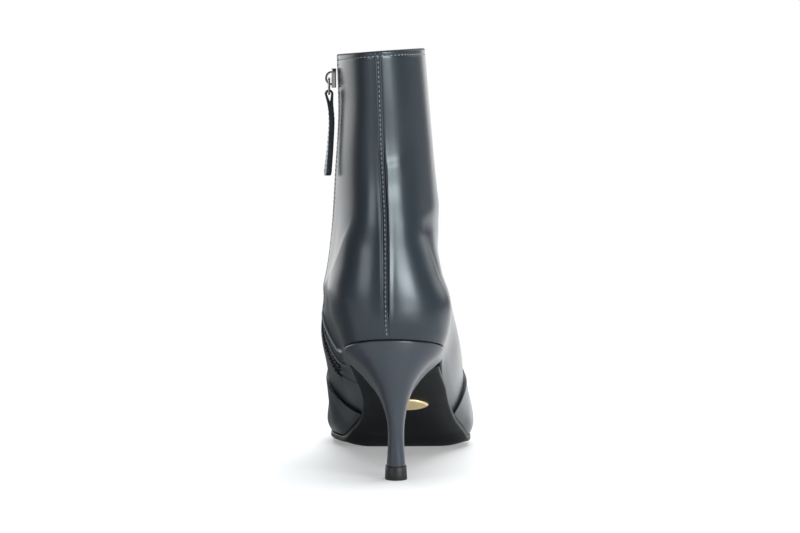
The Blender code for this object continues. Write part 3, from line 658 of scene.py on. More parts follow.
def smoothed(mesh):
    """Shades the mesh smooth, apart from its sharp edges."""
    mesh.polygons.foreach_set("use_smooth", np.ones(len(mesh.polygons), bool))
    mesh.set_sharp_from_angle(angle=math.radians(SHARP_ANGLE))
    mesh.update()


def placed(name, mesh):
    """A piece of this mesh, in the scene."""
    smoothed(mesh)
    made = bpy.data.objects.new(name, mesh)
    bpy.context.scene.collection.objects.link(made)
    return made


def merged(made):
    """Joins points that coincide, and turns all faces outwards."""
    work = bmesh.new()
    work.from_mesh(made.data)
    bmesh.ops.remove_doubles(work, verts=work.verts, dist=TINY)
    bmesh.ops.dissolve_degenerate(work, dist=TINY, edges=work.edges)
    bmesh.ops.recalc_face_normals(work, faces=work.faces)
    work.to_mesh(made.data)
    work.free()
    smoothed(made.data)
    return made


def applied(made):
    """The piece with its modifiers applied."""
    bpy.context.view_layer.update()
    shown = made.evaluated_get(bpy.context.evaluated_depsgraph_get())
    mesh = bpy.data.meshes.new_from_object(shown)
    made.modifiers.clear()
    made.data = mesh
    mesh.name = made.name
    smoothed(mesh)
    return made


def shell(name, outer, inner, materials, kept=None, wrap=False, groove=None, faced=None):
    """A wall between two grids, closed along the rim of its kept cells. Its materials are those of the
    outside, the inside, the rim and the outside's faced cells."""
    rows, columns = outer.shape[:2]
    if kept is None:
        kept = np.ones((rows - 1, columns if wrap else columns - 1), bool)
    i, j = np.nonzero(kept)
    k = (j + 1) % columns
    quads = np.stack([i * columns + j, i * columns + k, (i + 1) * columns + k, (i + 1) * columns + j], axis=1)
    below = rows * columns
    edges = {(int(quad[n - 1]), int(quad[n])) for quad in quads for n in range(4)}
    rim = [(q, p, p + below, q + below) for p, q in sorted(edges) if (q, p) not in edges]
    faces = quads.tolist() + (quads[:, ::-1] + below).tolist() + rim
    outside = [OUTSIDE] * len(quads) if faced is None else np.where(faced[i, j], FACED, OUTSIDE).tolist()
    slots = outside + [INSIDE] * len(quads) + [RIM] * len(rim)
    points = np.concatenate([outer.reshape(-1, 3), inner.reshape(-1, 3)])
    if groove is not None:
        groove = np.concatenate([groove.ravel(), np.zeros(below)])
    made = new_piece(name, points, faces, materials, slots, groove=groove)
    work = bmesh.new()
    work.from_mesh(made.data)
    bmesh.ops.delete(work, geom=[v for v in work.verts if not v.link_faces], context="VERTS")
    work.to_mesh(made.data)
    work.free()
    smoothed(made.data)
    return made


def band_faces(rows, count):
    """Faces between closed rows of this many points each."""
    faces = []
    for i in range(rows - 1):
        for j in range(count):
            k = (j + 1) % count
            faces.append((i * count + j, i * count + k, (i + 1) * count + k, (i + 1) * count + j))
    return faces


def loft(name, sections, materials):
    """A solid through closed sections, each the same both ways from its first point."""
    rows, count = sections.shape[:2]
    faces = band_faces(rows, count)
    top = (rows - 1) * count
    for j in range(count // 2):
        strip = tuple(dict.fromkeys((j, j + 1, count - j - 1, (count - j) % count)))
        faces.append(tuple(reversed(strip)))
        faces.append(tuple(top + corner for corner in strip))
    return new_piece(name, sections.reshape(-1, 3), faces, materials)


# Grid of the upper: steps in millimetres beside the back seam, the zip, its lip and its rolled seam, and how
# many columns span what lies between. LEVELS and BEHIND say where the lip and the rolled seam run.
UPPER_ROWS_PER_LEVEL = 18
SEAM_STEPS = (0.0, 0.35, 0.7, 1.0, 1.2, 1.3, 1.42, 1.6, 1.85, 2.2, 2.6, 3.1, 3.8, 4.7, 5.8, 7.2, 9.0)
SLIT_STEPS = (0.0, 0.08, 0.22, 0.45, 0.75)
FACING_STEPS = (0.4, 0.8, 1.2, 2.2, 4.0)
FACING_SPAN = 4
FACING_NARROW = 3.9
FACING_BEFORE = 4.5
FACING_TOP = 3.4
FACING_FULL = 2.2
FACING_BEFORE_FULL = 1.3
LIP_LEVELS = (1.0, 3.0)
LIP_BEHIND = (13.0, 4.0)
LIP_POWER = 1.3
LIP_NEAREST = 6.2
LIP_STEPS = (-0.3, 0.0, 0.3, 0.7, 1.2, 1.8)
LIP_REACH = 0.7
LIP_SHARE = 0.55
ROLL_LEVELS = (0.5, 3.5)
ROLL_BEHIND = (33.0, 4.4)
ROLL_POWER = 1.1
ROLL_STEPS = (-3.4, -2.6, -2.1, -1.7, -1.3, -0.9, -0.6, -0.3, 0.0, 0.3, 0.6, 0.9, 1.3, 1.7, 2.1, 2.6, 3.4)
ROLL_CLEAR = 0.6
ROLL_SPAN = 8
LIP_SPAN = 3
# Strength of the painted highlight laid on the crests of the roll and the lip.
CREST_HIGHLIGHT = 0.9
SLIT_INSIDE = (2.0, 1.2, 0.7, 0.35, 0.15, 0.0, -0.15, -0.35, -0.7, -1.2, -2.0)
OUTER_REAR = 0.36
OUTER_REAR_SPAN = 52
OUTER_SPAN = 44
FRONT_SPAN = 32
QUARTER_SPAN = 34
COLLAR_STEPS = (0.0, 0.06, 0.18, 0.36, 0.6, 0.9, 1.4, 1.9, 2.3, 2.6, 2.9, 3.4)
FOOT_LEVELS = (0.008, 0.02, 0.035)
ZIP_END_STEP = 0.02
SOLE_EDGE_ROUND = 0.9
FAR_AWAY = 1000.0


def upper_levels():
    """Levels of the upper's rows: even, with close rows at the sole, the zip's end and the collar."""
    even = np.linspace(0.0, COLLAR_LEVEL, int(COLLAR_LEVEL) * UPPER_ROWS_PER_LEVEL + 1)
    collar = COLLAR_LEVEL - np.array(COLLAR_STEPS) / level_length(COLLAR_LEVEL)
    ends = [*FOOT_LEVELS, ZIP_END_LEVEL - ZIP_END_STEP, ZIP_END_LEVEL, ZIP_END_LEVEL + ZIP_END_STEP]
    even = even[even < collar.min()]
    return np.union1d(np.union1d(even, collar), ends)


def upper_columns(levels):
    """Places around the boot for each level: close at the back seam, the zip, its lip and rolled seam."""
    rear = np.array(SEAM_STEPS) / seam_scale(levels)[:, None]
    up = levels[:, None]
    beside = SLIT_HALF + np.array(SLIT_STEPS)
    before, behind = facing_before(up), facing_behind(up)
    lip = lip_line(up) + np.array(LIP_STEPS)
    roll = np.maximum(roll_behind(up), lip[:, -1:] + ROLL_CLEAR - ROLL_STEPS[0]) + np.array(ROLL_STEPS)

    def span(start, end, count):
        return start + (end - start) * (np.arange(1, count) / count)

    edge = np.broadcast_to(beside, (len(levels), len(beside)))
    front = np.concatenate([
        edge, span(edge[:, -1:], before, FACING_SPAN), before, before + FACING_STEPS,
    ], axis=1)
    back = np.concatenate([
        edge, span(edge[:, -1:], behind, FACING_SPAN), behind, span(behind, lip[:, :1], LIP_SPAN), lip,
        span(lip[:, -1:], roll[:, :1], ROLL_SPAN), roll,
    ], axis=1)
    ahead = zip_around(front[:, ::-1], up)
    behind = zip_around(-back, up)
    return np.concatenate([
        rear,
        span(rear[:, -1:], OUTER_REAR, OUTER_REAR_SPAN),
        np.full((len(levels), 1), OUTER_REAR),
        span(np.full((len(levels), 1), OUTER_REAR), 1.0, OUTER_SPAN),
        np.ones((len(levels), 1)),
        span(1.0, ahead[:, :1], FRONT_SPAN),
        ahead,
        zip_around(np.array(SLIT_INSIDE), up),
        behind,
        span(behind[:, -1:], 2.0 - rear[:, -1:], QUARTER_SPAN),
        2.0 - rear[:, :0:-1],
    ], axis=1)


def seam_distance(around, level):
    """Signed distance from the back seam, in front of it by the outer side."""
    return np.where(around <= 1.0, around, around - 2.0) * seam_scale(level)


def zip_distance(around, level):
    """Distance in front of the zip's middle line; far away on the outer side."""
    return np.where(around > 1.0, surface(around, level)[..., 1] - zip_y(level), FAR_AWAY)


def drawn_back(level, levels, behind, power):
    """How far behind the zip's middle a line runs that leaves the zip at the higher level."""
    down = np.clip((levels[1] - level) / (levels[1] - levels[0]), 0.0, None)
    return behind[1] + (behind[0] - behind[1]) * down**power


def roll_behind(level):
    """Where the rolled seam of the counter runs."""
    return drawn_back(level, ROLL_LEVELS, ROLL_BEHIND, ROLL_POWER)


def lip_behind(level):
    """Where the lip of the zip's facing runs."""
    return drawn_back(level, LIP_LEVELS, LIP_BEHIND, LIP_POWER)


def lip_line(level):
    """The lip's line, kept clear of the zip's edge."""
    return np.maximum(lip_behind(level), LIP_NEAREST)


def facing_behind(level):
    """Rear edge of the black facing that shows beside the zip's lower end."""
    wide = lip_line(level) - LIP_REACH - FACING_NARROW
    return FACING_NARROW + wide * smooth_step(FACING_TOP, FACING_FULL, level)


def facing_before(level):
    """Front edge of the black facing."""
    shown = smooth_step(ZIP_END_LEVEL, FACING_BEFORE_FULL, level)
    shown = shown * smooth_step(FACING_TOP, FACING_FULL, level)
    return FACING_NARROW + FACING_BEFORE * shown


def crease_relief(points):
    """Folds of the leather behind the ankle."""
    height = np.zeros(points.shape[:-1])
    x, z = points[..., 0], points[..., 2]
    rear = smooth_step(*CREASE_BACK_Y, points[..., 1])
    s = np.linspace(0.0, 1.0, CREASE_SAMPLES)
    for values in CREASE_ROWS:
        fold = dict(zip(CREASE_COLUMNS, values))
        path = [
            fold[axis + "0"] * (1 - s) ** 2 + fold[axis + "2"] * s**2
            + (4 * fold[axis + "1"] - fold[axis + "0"] - fold[axis + "2"]) * s * (1 - s)
            for axis in "xz"
        ]
        apart = (x[..., None] - path[0]) ** 2 + (z[..., None] - path[1]) ** 2
        near = apart.argmin(axis=-1)
        dx, dz = x - path[0][near], z - path[1][near]
        tx, tz = np.gradient(path[0])[near], np.gradient(path[1])[near]
        onward = (dx * tx + dz * tz) / (tx**2 + tz**2)
        across = (dz * tx - dx * tz) / np.sqrt(tx**2 + tz**2)
        share = np.clip(s[near] + onward * s[1], 0.0, 1.0)
        spread = np.where(across > 0, fold["left"], fold["right"])
        power = np.where(across > 0, fold["left_power"], fold["right_power"])
        fade = smooth_step(0.0, CREASE_FADE, share) * smooth_step(1.0, 1.0 - CREASE_FADE, share)
        height += fold["rise"] * np.exp(-((np.abs(across) / spread) ** power)) * fade
    return height * rear


# Relief of the upper in millimetres. A FADE is the two heights or levels between which a form grows to its
# full size; for the zip's row and the seam below it they count from the zip's end. ROLL_LINE and LIP_LINE
# are the place and the spread of a sunk line beside a roll. The sunk lines are darkened as painted shade,
# the crests of the roll and the lip lightened as a painted highlight.
SEAM_TOP_FADE = (184.0, 160.0)
SEAM_TOP_LEAST = 0.2
SEAM_FOOT_FADE = (78.0, 92.0)
SEAM_FOOT_LEAST = 0.25
SEAM_LIP_PLACE = 0.8
SEAM_LIP_SPREAD = 1.0
STRIP_EDGE = (0.25, 0.15)
SEAM_LINE_SPREAD = 0.18
SEAM_LINE_INNER = 0.6
SEAM_LINE_DEPTH = 0.35
SEAM_LINE_SHADE = 1.1
CREASE_FROM_SEAM = 3.0
ROW_DENT = 0.12
ROW_DENT_SPREAD = 0.5
ZIP_ROW_FADE = (-0.2, 0.1)
ROLL_FADE = (4.2, 2.8)
ROLL_LEAST = 0.2
ROLL_FOOT_FADE = (0.0, 0.5)
ROLL_SPREAD = 1.15
ROLL_HIGHLIGHT_SPREAD = 0.6
ROLL_LINE = (1.8, 0.4)
LIP_FADE = (2.8, 1.9)
LIP_FOOT_FADE = (0.3, 0.8)
LIP_SPREAD = 0.7
LIP_HIGHLIGHT_SPREAD = 0.45
LIP_LINE = (-1.2, 0.35)
FOLD_LINE_DEPTH = 0.5
FOLD_LINE_SHADE = 0.9
BELOW_ZIP_SPREAD = 0.28
BELOW_ZIP_FADE = (0.05, -0.05)
BELOW_ZIP_DEPTH = 0.4
# Distances in from the collar's top over which the leather turns to the near-black edge colour.
COLLAR_DARK_BAND = (0.9, 0.5)
FOOT_STEP = 0.05


def seam_relief(around, level, points):
    """Height of the sunk back strip, the lines along it and the folds beside it; the lines get painted shade.
    """
    size = sizes()
    z = points[..., 2]
    seam = seam_distance(around, level)
    beside = np.abs(seam)
    half = in_mm(size.seam_half)
    fade = grown_from(SEAM_TOP_LEAST, SEAM_TOP_FADE, z) * grown_from(SEAM_FOOT_LEAST, SEAM_FOOT_FADE, z)
    lip = in_mm(size.seam_lip) * np.where(
        beside > half, bump(beside, half + SEAM_LIP_PLACE, SEAM_LIP_SPREAD), 0.0)
    strip = -in_mm(size.seam_sink) * smooth_step(half + STRIP_EDGE[0], half - STRIP_EDGE[1], beside)
    # The lines beside the strip are sunk and darkened as painted shade.
    groove = bump(beside, half, SEAM_LINE_SPREAD) * np.where(seam > 0, 1.0, SEAM_LINE_INNER)
    creases = crease_relief(points) * smooth_step(half, CREASE_FROM_SEAM, beside)
    height = fade * (lip + strip - SEAM_LINE_DEPTH * groove) + creases
    return height, np.clip(groove * fade * SEAM_LINE_SHADE, 0.0, 1.0)


def zip_relief(around, level):
    """Height, painted shade and painted highlight of the zip's edges, its lip and the rolled seam behind it.
    """
    size = sizes()
    ahead = zip_distance(around, level)
    slit = np.abs(ahead) - SLIT_HALF
    folded = (level >= ZIP_END_LEVEL) & (slit >= 0)
    drop = np.where(folded, edge_drop(np.maximum(slit, 0.0), in_mm(size.slit_round)), 0.0)
    sewn = bump(slit, in_mm(size.zip_row), ROW_DENT_SPREAD)
    sewn = sewn * smooth_step(ZIP_END_LEVEL + ZIP_ROW_FADE[0], ZIP_END_LEVEL + ZIP_ROW_FADE[1], level)
    roll, lip = ahead + roll_behind(level), ahead + lip_behind(level)
    rolled = grown_from(ROLL_LEAST, ROLL_FADE, level) * smooth_step(*ROLL_FOOT_FADE, level)
    lipped = LIP_SHARE * smooth_step(*LIP_FADE, level) * smooth_step(*LIP_FOOT_FADE, level)
    fold_line = bump(roll, *ROLL_LINE) * rolled + bump(lip, *LIP_LINE) * lipped
    rolls = rolled * bump(roll, 0.0, ROLL_SPREAD) + lipped * bump(lip, 0.0, LIP_SPREAD)
    # Painted highlight along the crests of the roll and the lip.
    pale = rolled * smooth_step(*ROLL_FADE, level) * bump(roll, 0.0, ROLL_HIGHLIGHT_SPREAD)
    pale = pale + lipped * bump(lip, 0.0, LIP_HIGHLIGHT_SPREAD)
    below = bump(ahead, 0.0, BELOW_ZIP_SPREAD)
    below = below * smooth_step(ZIP_END_LEVEL + BELOW_ZIP_FADE[0], ZIP_END_LEVEL + BELOW_ZIP_FADE[1], level)
    height = in_mm(size.fold_rise) * rolls - ROW_DENT * sewn - FOLD_LINE_DEPTH * fold_line
    # Painted shade in the sunk fold lines and in the sunk line below the zip's end.
    dark = np.clip(FOLD_LINE_SHADE * (fold_line + below), 0.0, 1.0)
    return height - BELOW_ZIP_DEPTH * below - drop, dark, CREST_HIGHLIGHT * pale


def upper_relief(around, level):
    """How far the dressed leather stands off the plain upper, and its groove: above 0 darker, below 0 a
    painted highlight.
    """
    size = sizes()
    seam_height, seam_dark = seam_relief(around, level, surface(around, level))
    zip_height, zip_dark, pale = zip_relief(around, level)
    top = (COLLAR_LEVEL - level) * level_length(COLLAR_LEVEL)
    foot_rise = surface(around, FOOT_STEP) - surface(around, 0.0)
    foot = level * np.linalg.norm(foot_rise, axis=-1) / FOOT_STEP
    height = seam_height + zip_height
    height -= edge_drop(top, in_mm(size.collar_round)) + edge_drop(foot, SOLE_EDGE_ROUND)
    height -= ROW_DENT * bump(top, in_mm(size.collar_row), ROW_DENT_SPREAD)
    # Above 0: painted shade of the sunk seam, fold and zip lines, and a darker band along the collar's edge;
    # below 0: the painted highlight of the crests.
    groove = np.maximum(seam_dark, zip_dark) - pale + smooth_step(*COLLAR_DARK_BAND, top)
    return height, np.minimum(groove, 1.0)


class BOOT_OT_upper(bpy.types.Operator):
    """Leather upper with its back seam, zip opening, folds and lining"""

    bl_idname = "boot.upper"
    bl_label = "Upper"

    def execute(self, context):
        levels = upper_levels()
        around = upper_columns(levels)
        level = np.repeat(levels[:, None], around.shape[1], axis=1)
        # This groove mark holds the painted shade above 0 and the painted highlight below 0.
        height, dark = upper_relief(around, level)
        wall = in_mm(sizes().wall)
        top = (COLLAR_LEVEL - level) * level_length(COLLAR_LEVEL)
        sunk = np.minimum(crease_relief(surface(around, level)), 0.0)
        inner = offset(around, level, sunk - wall + edge_drop(top, in_mm(sizes().collar_round)))
        first = np.argmin(np.abs(zip_around(SLIT_HALF, levels[:1]) - around[0]))
        kept = np.ones((len(levels) - 1, around.shape[1]), bool)
        kept[levels[:-1] >= ZIP_END_LEVEL, first:first + len(SLIT_INSIDE) + 1] = False
        faced = np.zeros(kept.shape, bool)
        foot = levels[:1]
        edges = [zip_around(facing_before(foot), foot), zip_around(-facing_behind(foot), foot)]
        start, end = [np.argmin(np.abs(edge - around[0])) for edge in edges]
        faced[(levels[:-1] >= ZIP_END_LEVEL) & (levels[:-1] < FACING_TOP), start:end] = True
        names = ("slate_leather", "lining_leather", "edge_paint", "zip_facing")
        looks = [finish(name) for name in names]
        made = shell("upper_leather", offset(around, level, height), inner, looks, kept, True, dark, faced)
        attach(made, "boot")
        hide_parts("upper")
        return {"FINISHED"}


VAMP_FIRST = 0.03
VAMP_COLUMNS = 90
VAMP_ROWS = 64
VAMP_EDGE_ROUND = 0.6
VAMP_UNDER = 0.05
VAMP_THINNEST = 0.05


class BOOT_OT_vamp(bpy.types.Operator):
    """Vamp laid over the upper, with its thick painted edge"""

    bl_idname = "boot.vamp"
    bl_label = "Vamp"

    def execute(self, context):
        climb = np.linspace(VAMP_FIRST, 1.0, VAMP_COLUMNS)
        t = VAMP_START + (1 - VAMP_START) * climb ** (1 / VAMP_RISE_POWER)
        around = np.concatenate([around_at(t, True), around_at(t, False)[-2::-1]])
        climb = np.concatenate([climb, climb[-2::-1]])
        up = 1 - (1 - np.linspace(0.0, 1.0, VAMP_ROWS)[:, None]) ** 2
        level = VAMP_PEAK_LEVEL * climb * up
        around = np.broadcast_to(around, level.shape)
        base = surface(around, level)
        length = np.linalg.norm(np.diff(base, axis=0), axis=-1)
        from_edge = np.concatenate([np.cumsum(length[::-1], axis=0)[::-1], np.zeros((1, level.shape[1]))])
        from_foot = np.concatenate([np.zeros((1, level.shape[1])), np.cumsum(length, axis=0)])
        height = VAMP_STAND - edge_drop(from_edge, VAMP_EDGE_ROUND) - edge_drop(from_foot, SOLE_EDGE_ROUND)
        outer = offset(around, level, np.maximum(height, VAMP_UNDER + VAMP_THINNEST))
        inner = offset(around, level, np.full(level.shape, VAMP_UNDER))
        looks = [finish("slate_leather"), finish("lining_leather"), finish("edge_paint")]
        made = shell("vamp_leather", outer, inner, looks, groove=np.zeros(level.shape))
        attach(made, "boot")
        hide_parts("vamp")
        return {"FINISHED"}


SOLE_DRAW_IN = SOLE_MARGIN - SOLE_REAR_MARGIN
SOLE_LENGTH_ROWS = 110
SOLE_BEVEL = 0.7
SOLE_BEVEL_POINTS = 4
EDGE_SAMPLES = 1201
SOLE_ACROSS = (
    -1.0, -0.95, -0.88, -0.8, -0.7, -0.6, -0.45, -0.2, 0.0, 0.2, 0.45, 0.6, 0.7, 0.8, 0.88, 0.95, 1.0,
)


def sole_outline(margin, rear_y, rows):
    """Both edges of the sole grown by the margin, from the rear to the toe."""
    edges = []
    for outer in (True, False):
        around = around_at(along(np.linspace(0.0, 1.0, EDGE_SAMPLES)), outer)
        outline = offset(around, np.zeros_like(around), np.full(around.shape, margin))
        place = np.linspace(0.0, 1.0, EDGE_SAMPLES)
        first = 0.0
        if rear_y is not None:
            narrow = offset(around, np.zeros_like(around), np.full(around.shape, margin - SOLE_DRAW_IN))
            grown = smooth_step(rear_y, SOLE_FULL_MARGIN_Y, outline[:, 1:2])
            outline = outline * grown + narrow * (1 - grown)
            first = np.interp(rear_y, outline[:, 1], place)
        steps = first + (1 - first) * np.linspace(0.0, 1.0, rows)
        edges.append(np.stack([np.interp(steps, place, outline[:, axis]) for axis in range(2)], axis=-1))
    return edges


def sole_body(name, margin, top, bottom, bevel, rear_y, materials):
    """A sole between two heights, its edge rounded above and below."""
    turn = np.linspace(0.0, np.pi / 2, SOLE_BEVEL_POINTS)
    grown = np.concatenate([np.sin(turn), np.cos(turn)]) * bevel - bevel + margin
    raised = np.concatenate([top - bevel + bevel * np.cos(turn), bottom + bevel - bevel * np.sin(turn)])
    rims = {False: [], True: []}
    for margin_here, height in zip(grown, raised):
        for outer, edge in zip((True, False), sole_outline(margin_here, rear_y, SOLE_LENGTH_ROWS)):
            rim = off_sole(edge[:, 0], edge[:, 1], np.zeros(len(edge)), np.full(len(edge), height))
            rims[outer].append(rim)
    outer, inner = sole_outline(margin - bevel, rear_y, SOLE_LENGTH_ROWS)
    share = (np.array(SOLE_ACROSS)[None, 1:-1, None] + 1) / 2
    flat = inner[:, None] + (outer - inner)[:, None] * share
    half = np.linalg.norm(outer - inner, axis=-1)[:, None] / 2
    from_edge = np.maximum(half * (1 - np.abs(np.array(SOLE_ACROSS)[None, 1:-1])) - (margin - bevel), 0.0)
    upper_face = off_sole(flat[..., 0], flat[..., 1], from_edge, np.full(from_edge.shape, top))
    lower_face = off_sole(flat[..., 0], flat[..., 1], from_edge, np.full(from_edge.shape, bottom))
    loops = np.concatenate([
        upper_face,
        np.stack(rims[True], axis=1),
        lower_face[:, ::-1],
        np.stack(rims[False], axis=1)[:, ::-1],
    ], axis=1)
    rows, count = loops.shape[:2]
    faces = band_faces(rows, count)
    faces.append(tuple(range(count)))
    return merged(new_piece(name, loops.reshape(-1, 3), faces, materials))


class BOOT_OT_sole(bpy.types.Operator):
    """Thin black outsole and the sock inside the boot"""

    bl_idname = "boot.sole"
    bl_label = "Sole and sock"

    def execute(self, context):
        under = sole_body(
            "outsole_leather", SOLE_MARGIN, 0.0, -SOLE_THICKNESS, SOLE_BEVEL, SOLE_REAR_Y,
            [finish("black_sole_leather")])
        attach(under, "boot")
        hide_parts("outsole")
        sock = sole_body(
            "insole_sock", -INSOLE_INSET, GAP + INSOLE_THICKNESS, GAP, SOLE_BEVEL, None,
            [finish("lining_leather")])
        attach(sock, "boot")
        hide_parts("insole")
        return {"FINISHED"}


HEEL_SIDE_STEPS = 44
HEEL_LEVELS = 96
SEAT_ROUND = 0.8
SEAT_ROUND_ROWS = 5


def heel_section(row):
    """One closed outline of the heel: round at the back, flat at the breast."""
    t = along(np.linspace(0.0, 1.0, HEEL_SIDE_STEPS + 1))
    y = row["back_y"] + (row["front_y"] - row["back_y"]) * t
    z = row["back_z"] + (row["front_z"] - row["back_z"]) * t
    reach = rounding((y - row["back_y"]) / row["back_round"], ROUND_POWER)
    reach = reach * rounding((row["front_y"] - y) / row["front_round"], ROUND_POWER)
    middle = row["back_x"]
    outer = np.stack([middle + (row["out_x"] - middle) * reach, y, z], axis=-1)
    inner = np.stack([middle + (row["in_x"] - middle) * reach, y, z], axis=-1)
    return np.concatenate([outer, inner[-2:0:-1]])


def drawn_in(section, by):
    """The section made smaller all round by about this much."""
    middle = section.mean(axis=0)
    reach = section[:, :2] - middle[:2]
    length = np.linalg.norm(reach, axis=1, keepdims=True)
    made = section.copy()
    made[:, :2] = section[:, :2] - reach / np.maximum(length, TINY) * by
    return made


class BOOT_OT_heel(bpy.types.Operator):
    """Leather-covered stiletto heel and its rubber top piece"""

    bl_idname = "boot.heel"
    bl_label = "Heel"

    def execute(self, context):
        rows = table(HEEL_COLUMNS, HEEL_ROWS)
        for end in ("back", "front"):
            rows[end + "_z"][-1] = sole_height(rows[end + "_y"][-1], 0.0)
        rows["back_x"] = np.linspace(0.0, RINGS["back_x"][0], len(HEEL_ROWS))
        knots = np.arange(len(HEEL_ROWS), dtype=float)
        sections = []
        for level in np.linspace(0.0, knots[-1], HEEL_LEVELS):
            row = {name: float(through(knots, column, level)) for name, column in rows.items()}
            sections.append(heel_section(row))
        sections[-1][:, 2] = sole_height(sections[-1][:, 1], 0.0)
        seat = sections.pop()
        for angle in np.linspace(0.0, np.pi / 2, SEAT_ROUND_ROWS):
            rim = drawn_in(seat, SEAT_ROUND * (1 - math.cos(angle)))
            rim[:, 2] += SEAT_ROUND * (math.sin(angle) - 1)
            sections.append(rim)
        cover = loft("heel_cover", np.array(sections), [finish("heel_leather")])
        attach(cover, "boot")
        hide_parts("heel")

        sections = []
        for values in TIP_ROWS:
            row = dict(zip(TIP_COLUMNS, values))
            row.update(back_z=row["z"], front_z=row["z"], back_x=0.0)
            row.update(out_x=row["half_width"], in_x=-row["half_width"])
            sections.append(heel_section(row))
        tip = loft("heel_tip", np.array(sections), [finish("top_piece_rubber")])
        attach(tip, "boot")
        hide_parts("heel_top_piece")
        return {"FINISHED"}


PLATE_STEPS = 49
PLATE_ACROSS = 25
PLATE_BEVEL = 0.9
PLATE_BEDDED = 0.05


class BOOT_OT_plate(bpy.types.Operator):
    """Plain gold plate set under the waist of the sole"""

    bl_idname = "boot.plate"
    bl_label = "Sole plate"

    def execute(self, context):
        step = np.sin(np.linspace(-np.pi / 2, np.pi / 2, PLATE_STEPS))
        half = PLATE_HALF_LENGTH * np.maximum(1 - step**2, PLATE_POINT) ** PLATE_TAPER_POWER
        across = np.sin(np.linspace(-np.pi / 2, np.pi / 2, PLATE_ACROSS))[:, None]
        x = np.broadcast_to(PLATE_X + PLATE_HALF_WIDTH * step, (PLATE_ACROSS, PLATE_STEPS))
        y = PLATE_Y + half[None] * across
        edge = np.minimum(half[None] * (1 - np.abs(across)), PLATE_HALF_WIDTH * (1 - np.abs(step))[None])
        fall = (PLATE_EDGE - PLATE_FACE) / PLATE_BEVEL * edge_drop(edge, PLATE_BEVEL)
        far_in = np.full(y.shape, TREAD_LIFT_BAND)
        face = off_sole(x, y, far_in, PLATE_FACE + fall)
        back = off_sole(x, y, far_in, np.full(y.shape, -SOLE_THICKNESS + PLATE_BEDDED))
        made = shell("gold_plate", back, face, [finish("satin_gold")] * PLAIN_LOOKS)
        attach(made, "boot")
        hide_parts("sole_plate")
        return {"FINISHED"}


BEAD_SEGMENTS = 8
BEAD_RINGS = 5


def rows_tree():
    """Geometry nodes that set rounded beads in a row along a path, facing as the path says."""
    name = "Beads along a path"
    if name in bpy.data.node_groups:
        return bpy.data.node_groups[name]
    tree, add, given, out = new_group(name, "GeometryNodeTree", (
        ("INPUT", "Path", "Geometry", None),
        ("INPUT", "Pitch", "Float", 0.002),
        ("INPUT", "Size", "Vector", (1.0, 1.0, 1.0)),
        ("INPUT", "Shift", "Vector", (0.0, 0.0, 0.0)),
        ("INPUT", "Material", "Material", None),
        ("OUTPUT", "Row", "Geometry", None),
    ))
    curve = add("GeometryNodeMeshToCurve", {"Mesh": given["Path"]})
    spaced = add("GeometryNodeResampleCurve", {
        "Curve": curve.outputs[0], "Length": given["Pitch"]}, mode="LENGTH")
    tangent = add("GeometryNodeInputTangent")
    facing = add("GeometryNodeInputNamedAttribute", {"Name": "facing"}, data_type="FLOAT_VECTOR")
    turned = add("FunctionNodeAxesToRotation", {
        "Primary Axis": facing.outputs["Attribute"], "Secondary Axis": tangent.outputs[0]},
        primary_axis="Z", secondary_axis="X")
    bead = add("GeometryNodeMeshUVSphere", {
        "Segments": BEAD_SEGMENTS, "Rings": BEAD_RINGS, "Radius": 1.0})
    shown = add("GeometryNodeInstanceOnPoints", {
        "Points": spaced.outputs[0], "Instance": bead.outputs["Mesh"], "Rotation": turned.outputs[0],
        "Scale": given["Size"]})
    moved = add("GeometryNodeTranslateInstances", {
        "Instances": shown.outputs[0], "Translation": given["Shift"], "Local Space": True})
    real = add("GeometryNodeRealizeInstances", {"Geometry": moved.outputs[0]})
    smooth = add("GeometryNodeSetShadeSmooth", {"Geometry": real.outputs[0]})
    worn = add("GeometryNodeSetMaterial", {"Geometry": smooth.outputs[0], "Material": given["Material"]})
    tree.links.new(worn.outputs[0], out["Row"])
    return tree


def bead_row(path, facing, pitch, size, shift, look):
    """One row of beads along a path in millimetres, as a plain mesh."""
    mesh = bpy.data.meshes.new("path")
    mesh.from_pydata((path * MM).tolist(), [(n, n + 1) for n in range(len(path) - 1)], [])
    mesh.attributes.new("facing", "FLOAT_VECTOR", "POINT").data.foreach_set(
        "vector", facing.astype(np.float32).ravel())
    line = bpy.data.objects.new("path", mesh)
    bpy.context.scene.collection.objects.link(line)
    tree = rows_tree()
    rule = line.modifiers.new("Beads", "NODES")
    rule.node_group = tree
    values = {"Pitch": pitch, "Size": size, "Shift": shift, "Material": look}
    for socket in tree.interface.items_tree:
        if socket.in_out == "INPUT" and socket.name in values:
            rule[socket.identifier] = values[socket.name]
    bpy.context.view_layer.update()
    made = bpy.data.meshes.new_from_object(line.evaluated_get(bpy.context.evaluated_depsgraph_get()))
    bpy.data.objects.remove(line)
    return made


def joined(name, meshes, look):
    """One piece of one material from several meshes."""
    work = bmesh.new()
    for mesh in meshes:
        work.from_mesh(mesh)
        bpy.data.meshes.remove(mesh)
    mesh = bpy.data.meshes.new(name)
    work.to_mesh(mesh)
    work.free()
    mesh.materials.clear()
    mesh.materials.append(look)
    mesh.polygons.foreach_set("material_index", np.zeros(len(mesh.polygons), np.int32))
    return placed(name, mesh)


def on_upper(around, level):
    """Points of the dressed leather and its normals along a line of places."""
    height = upper_relief(around, level)[0]
    return offset(around, level, height), outward(around, level)


SEAM_ROW_SHIFT = -0.15
SEAM_ROW_LEVELS = (0.35, 8.86)
ROW_SAMPLES = 400
ZIP_ROW_START = 0.1
HOLE_SHARE = 0.42
HOLE_HEIGHT = 0.12
THREAD_HEIGHT = 0.4


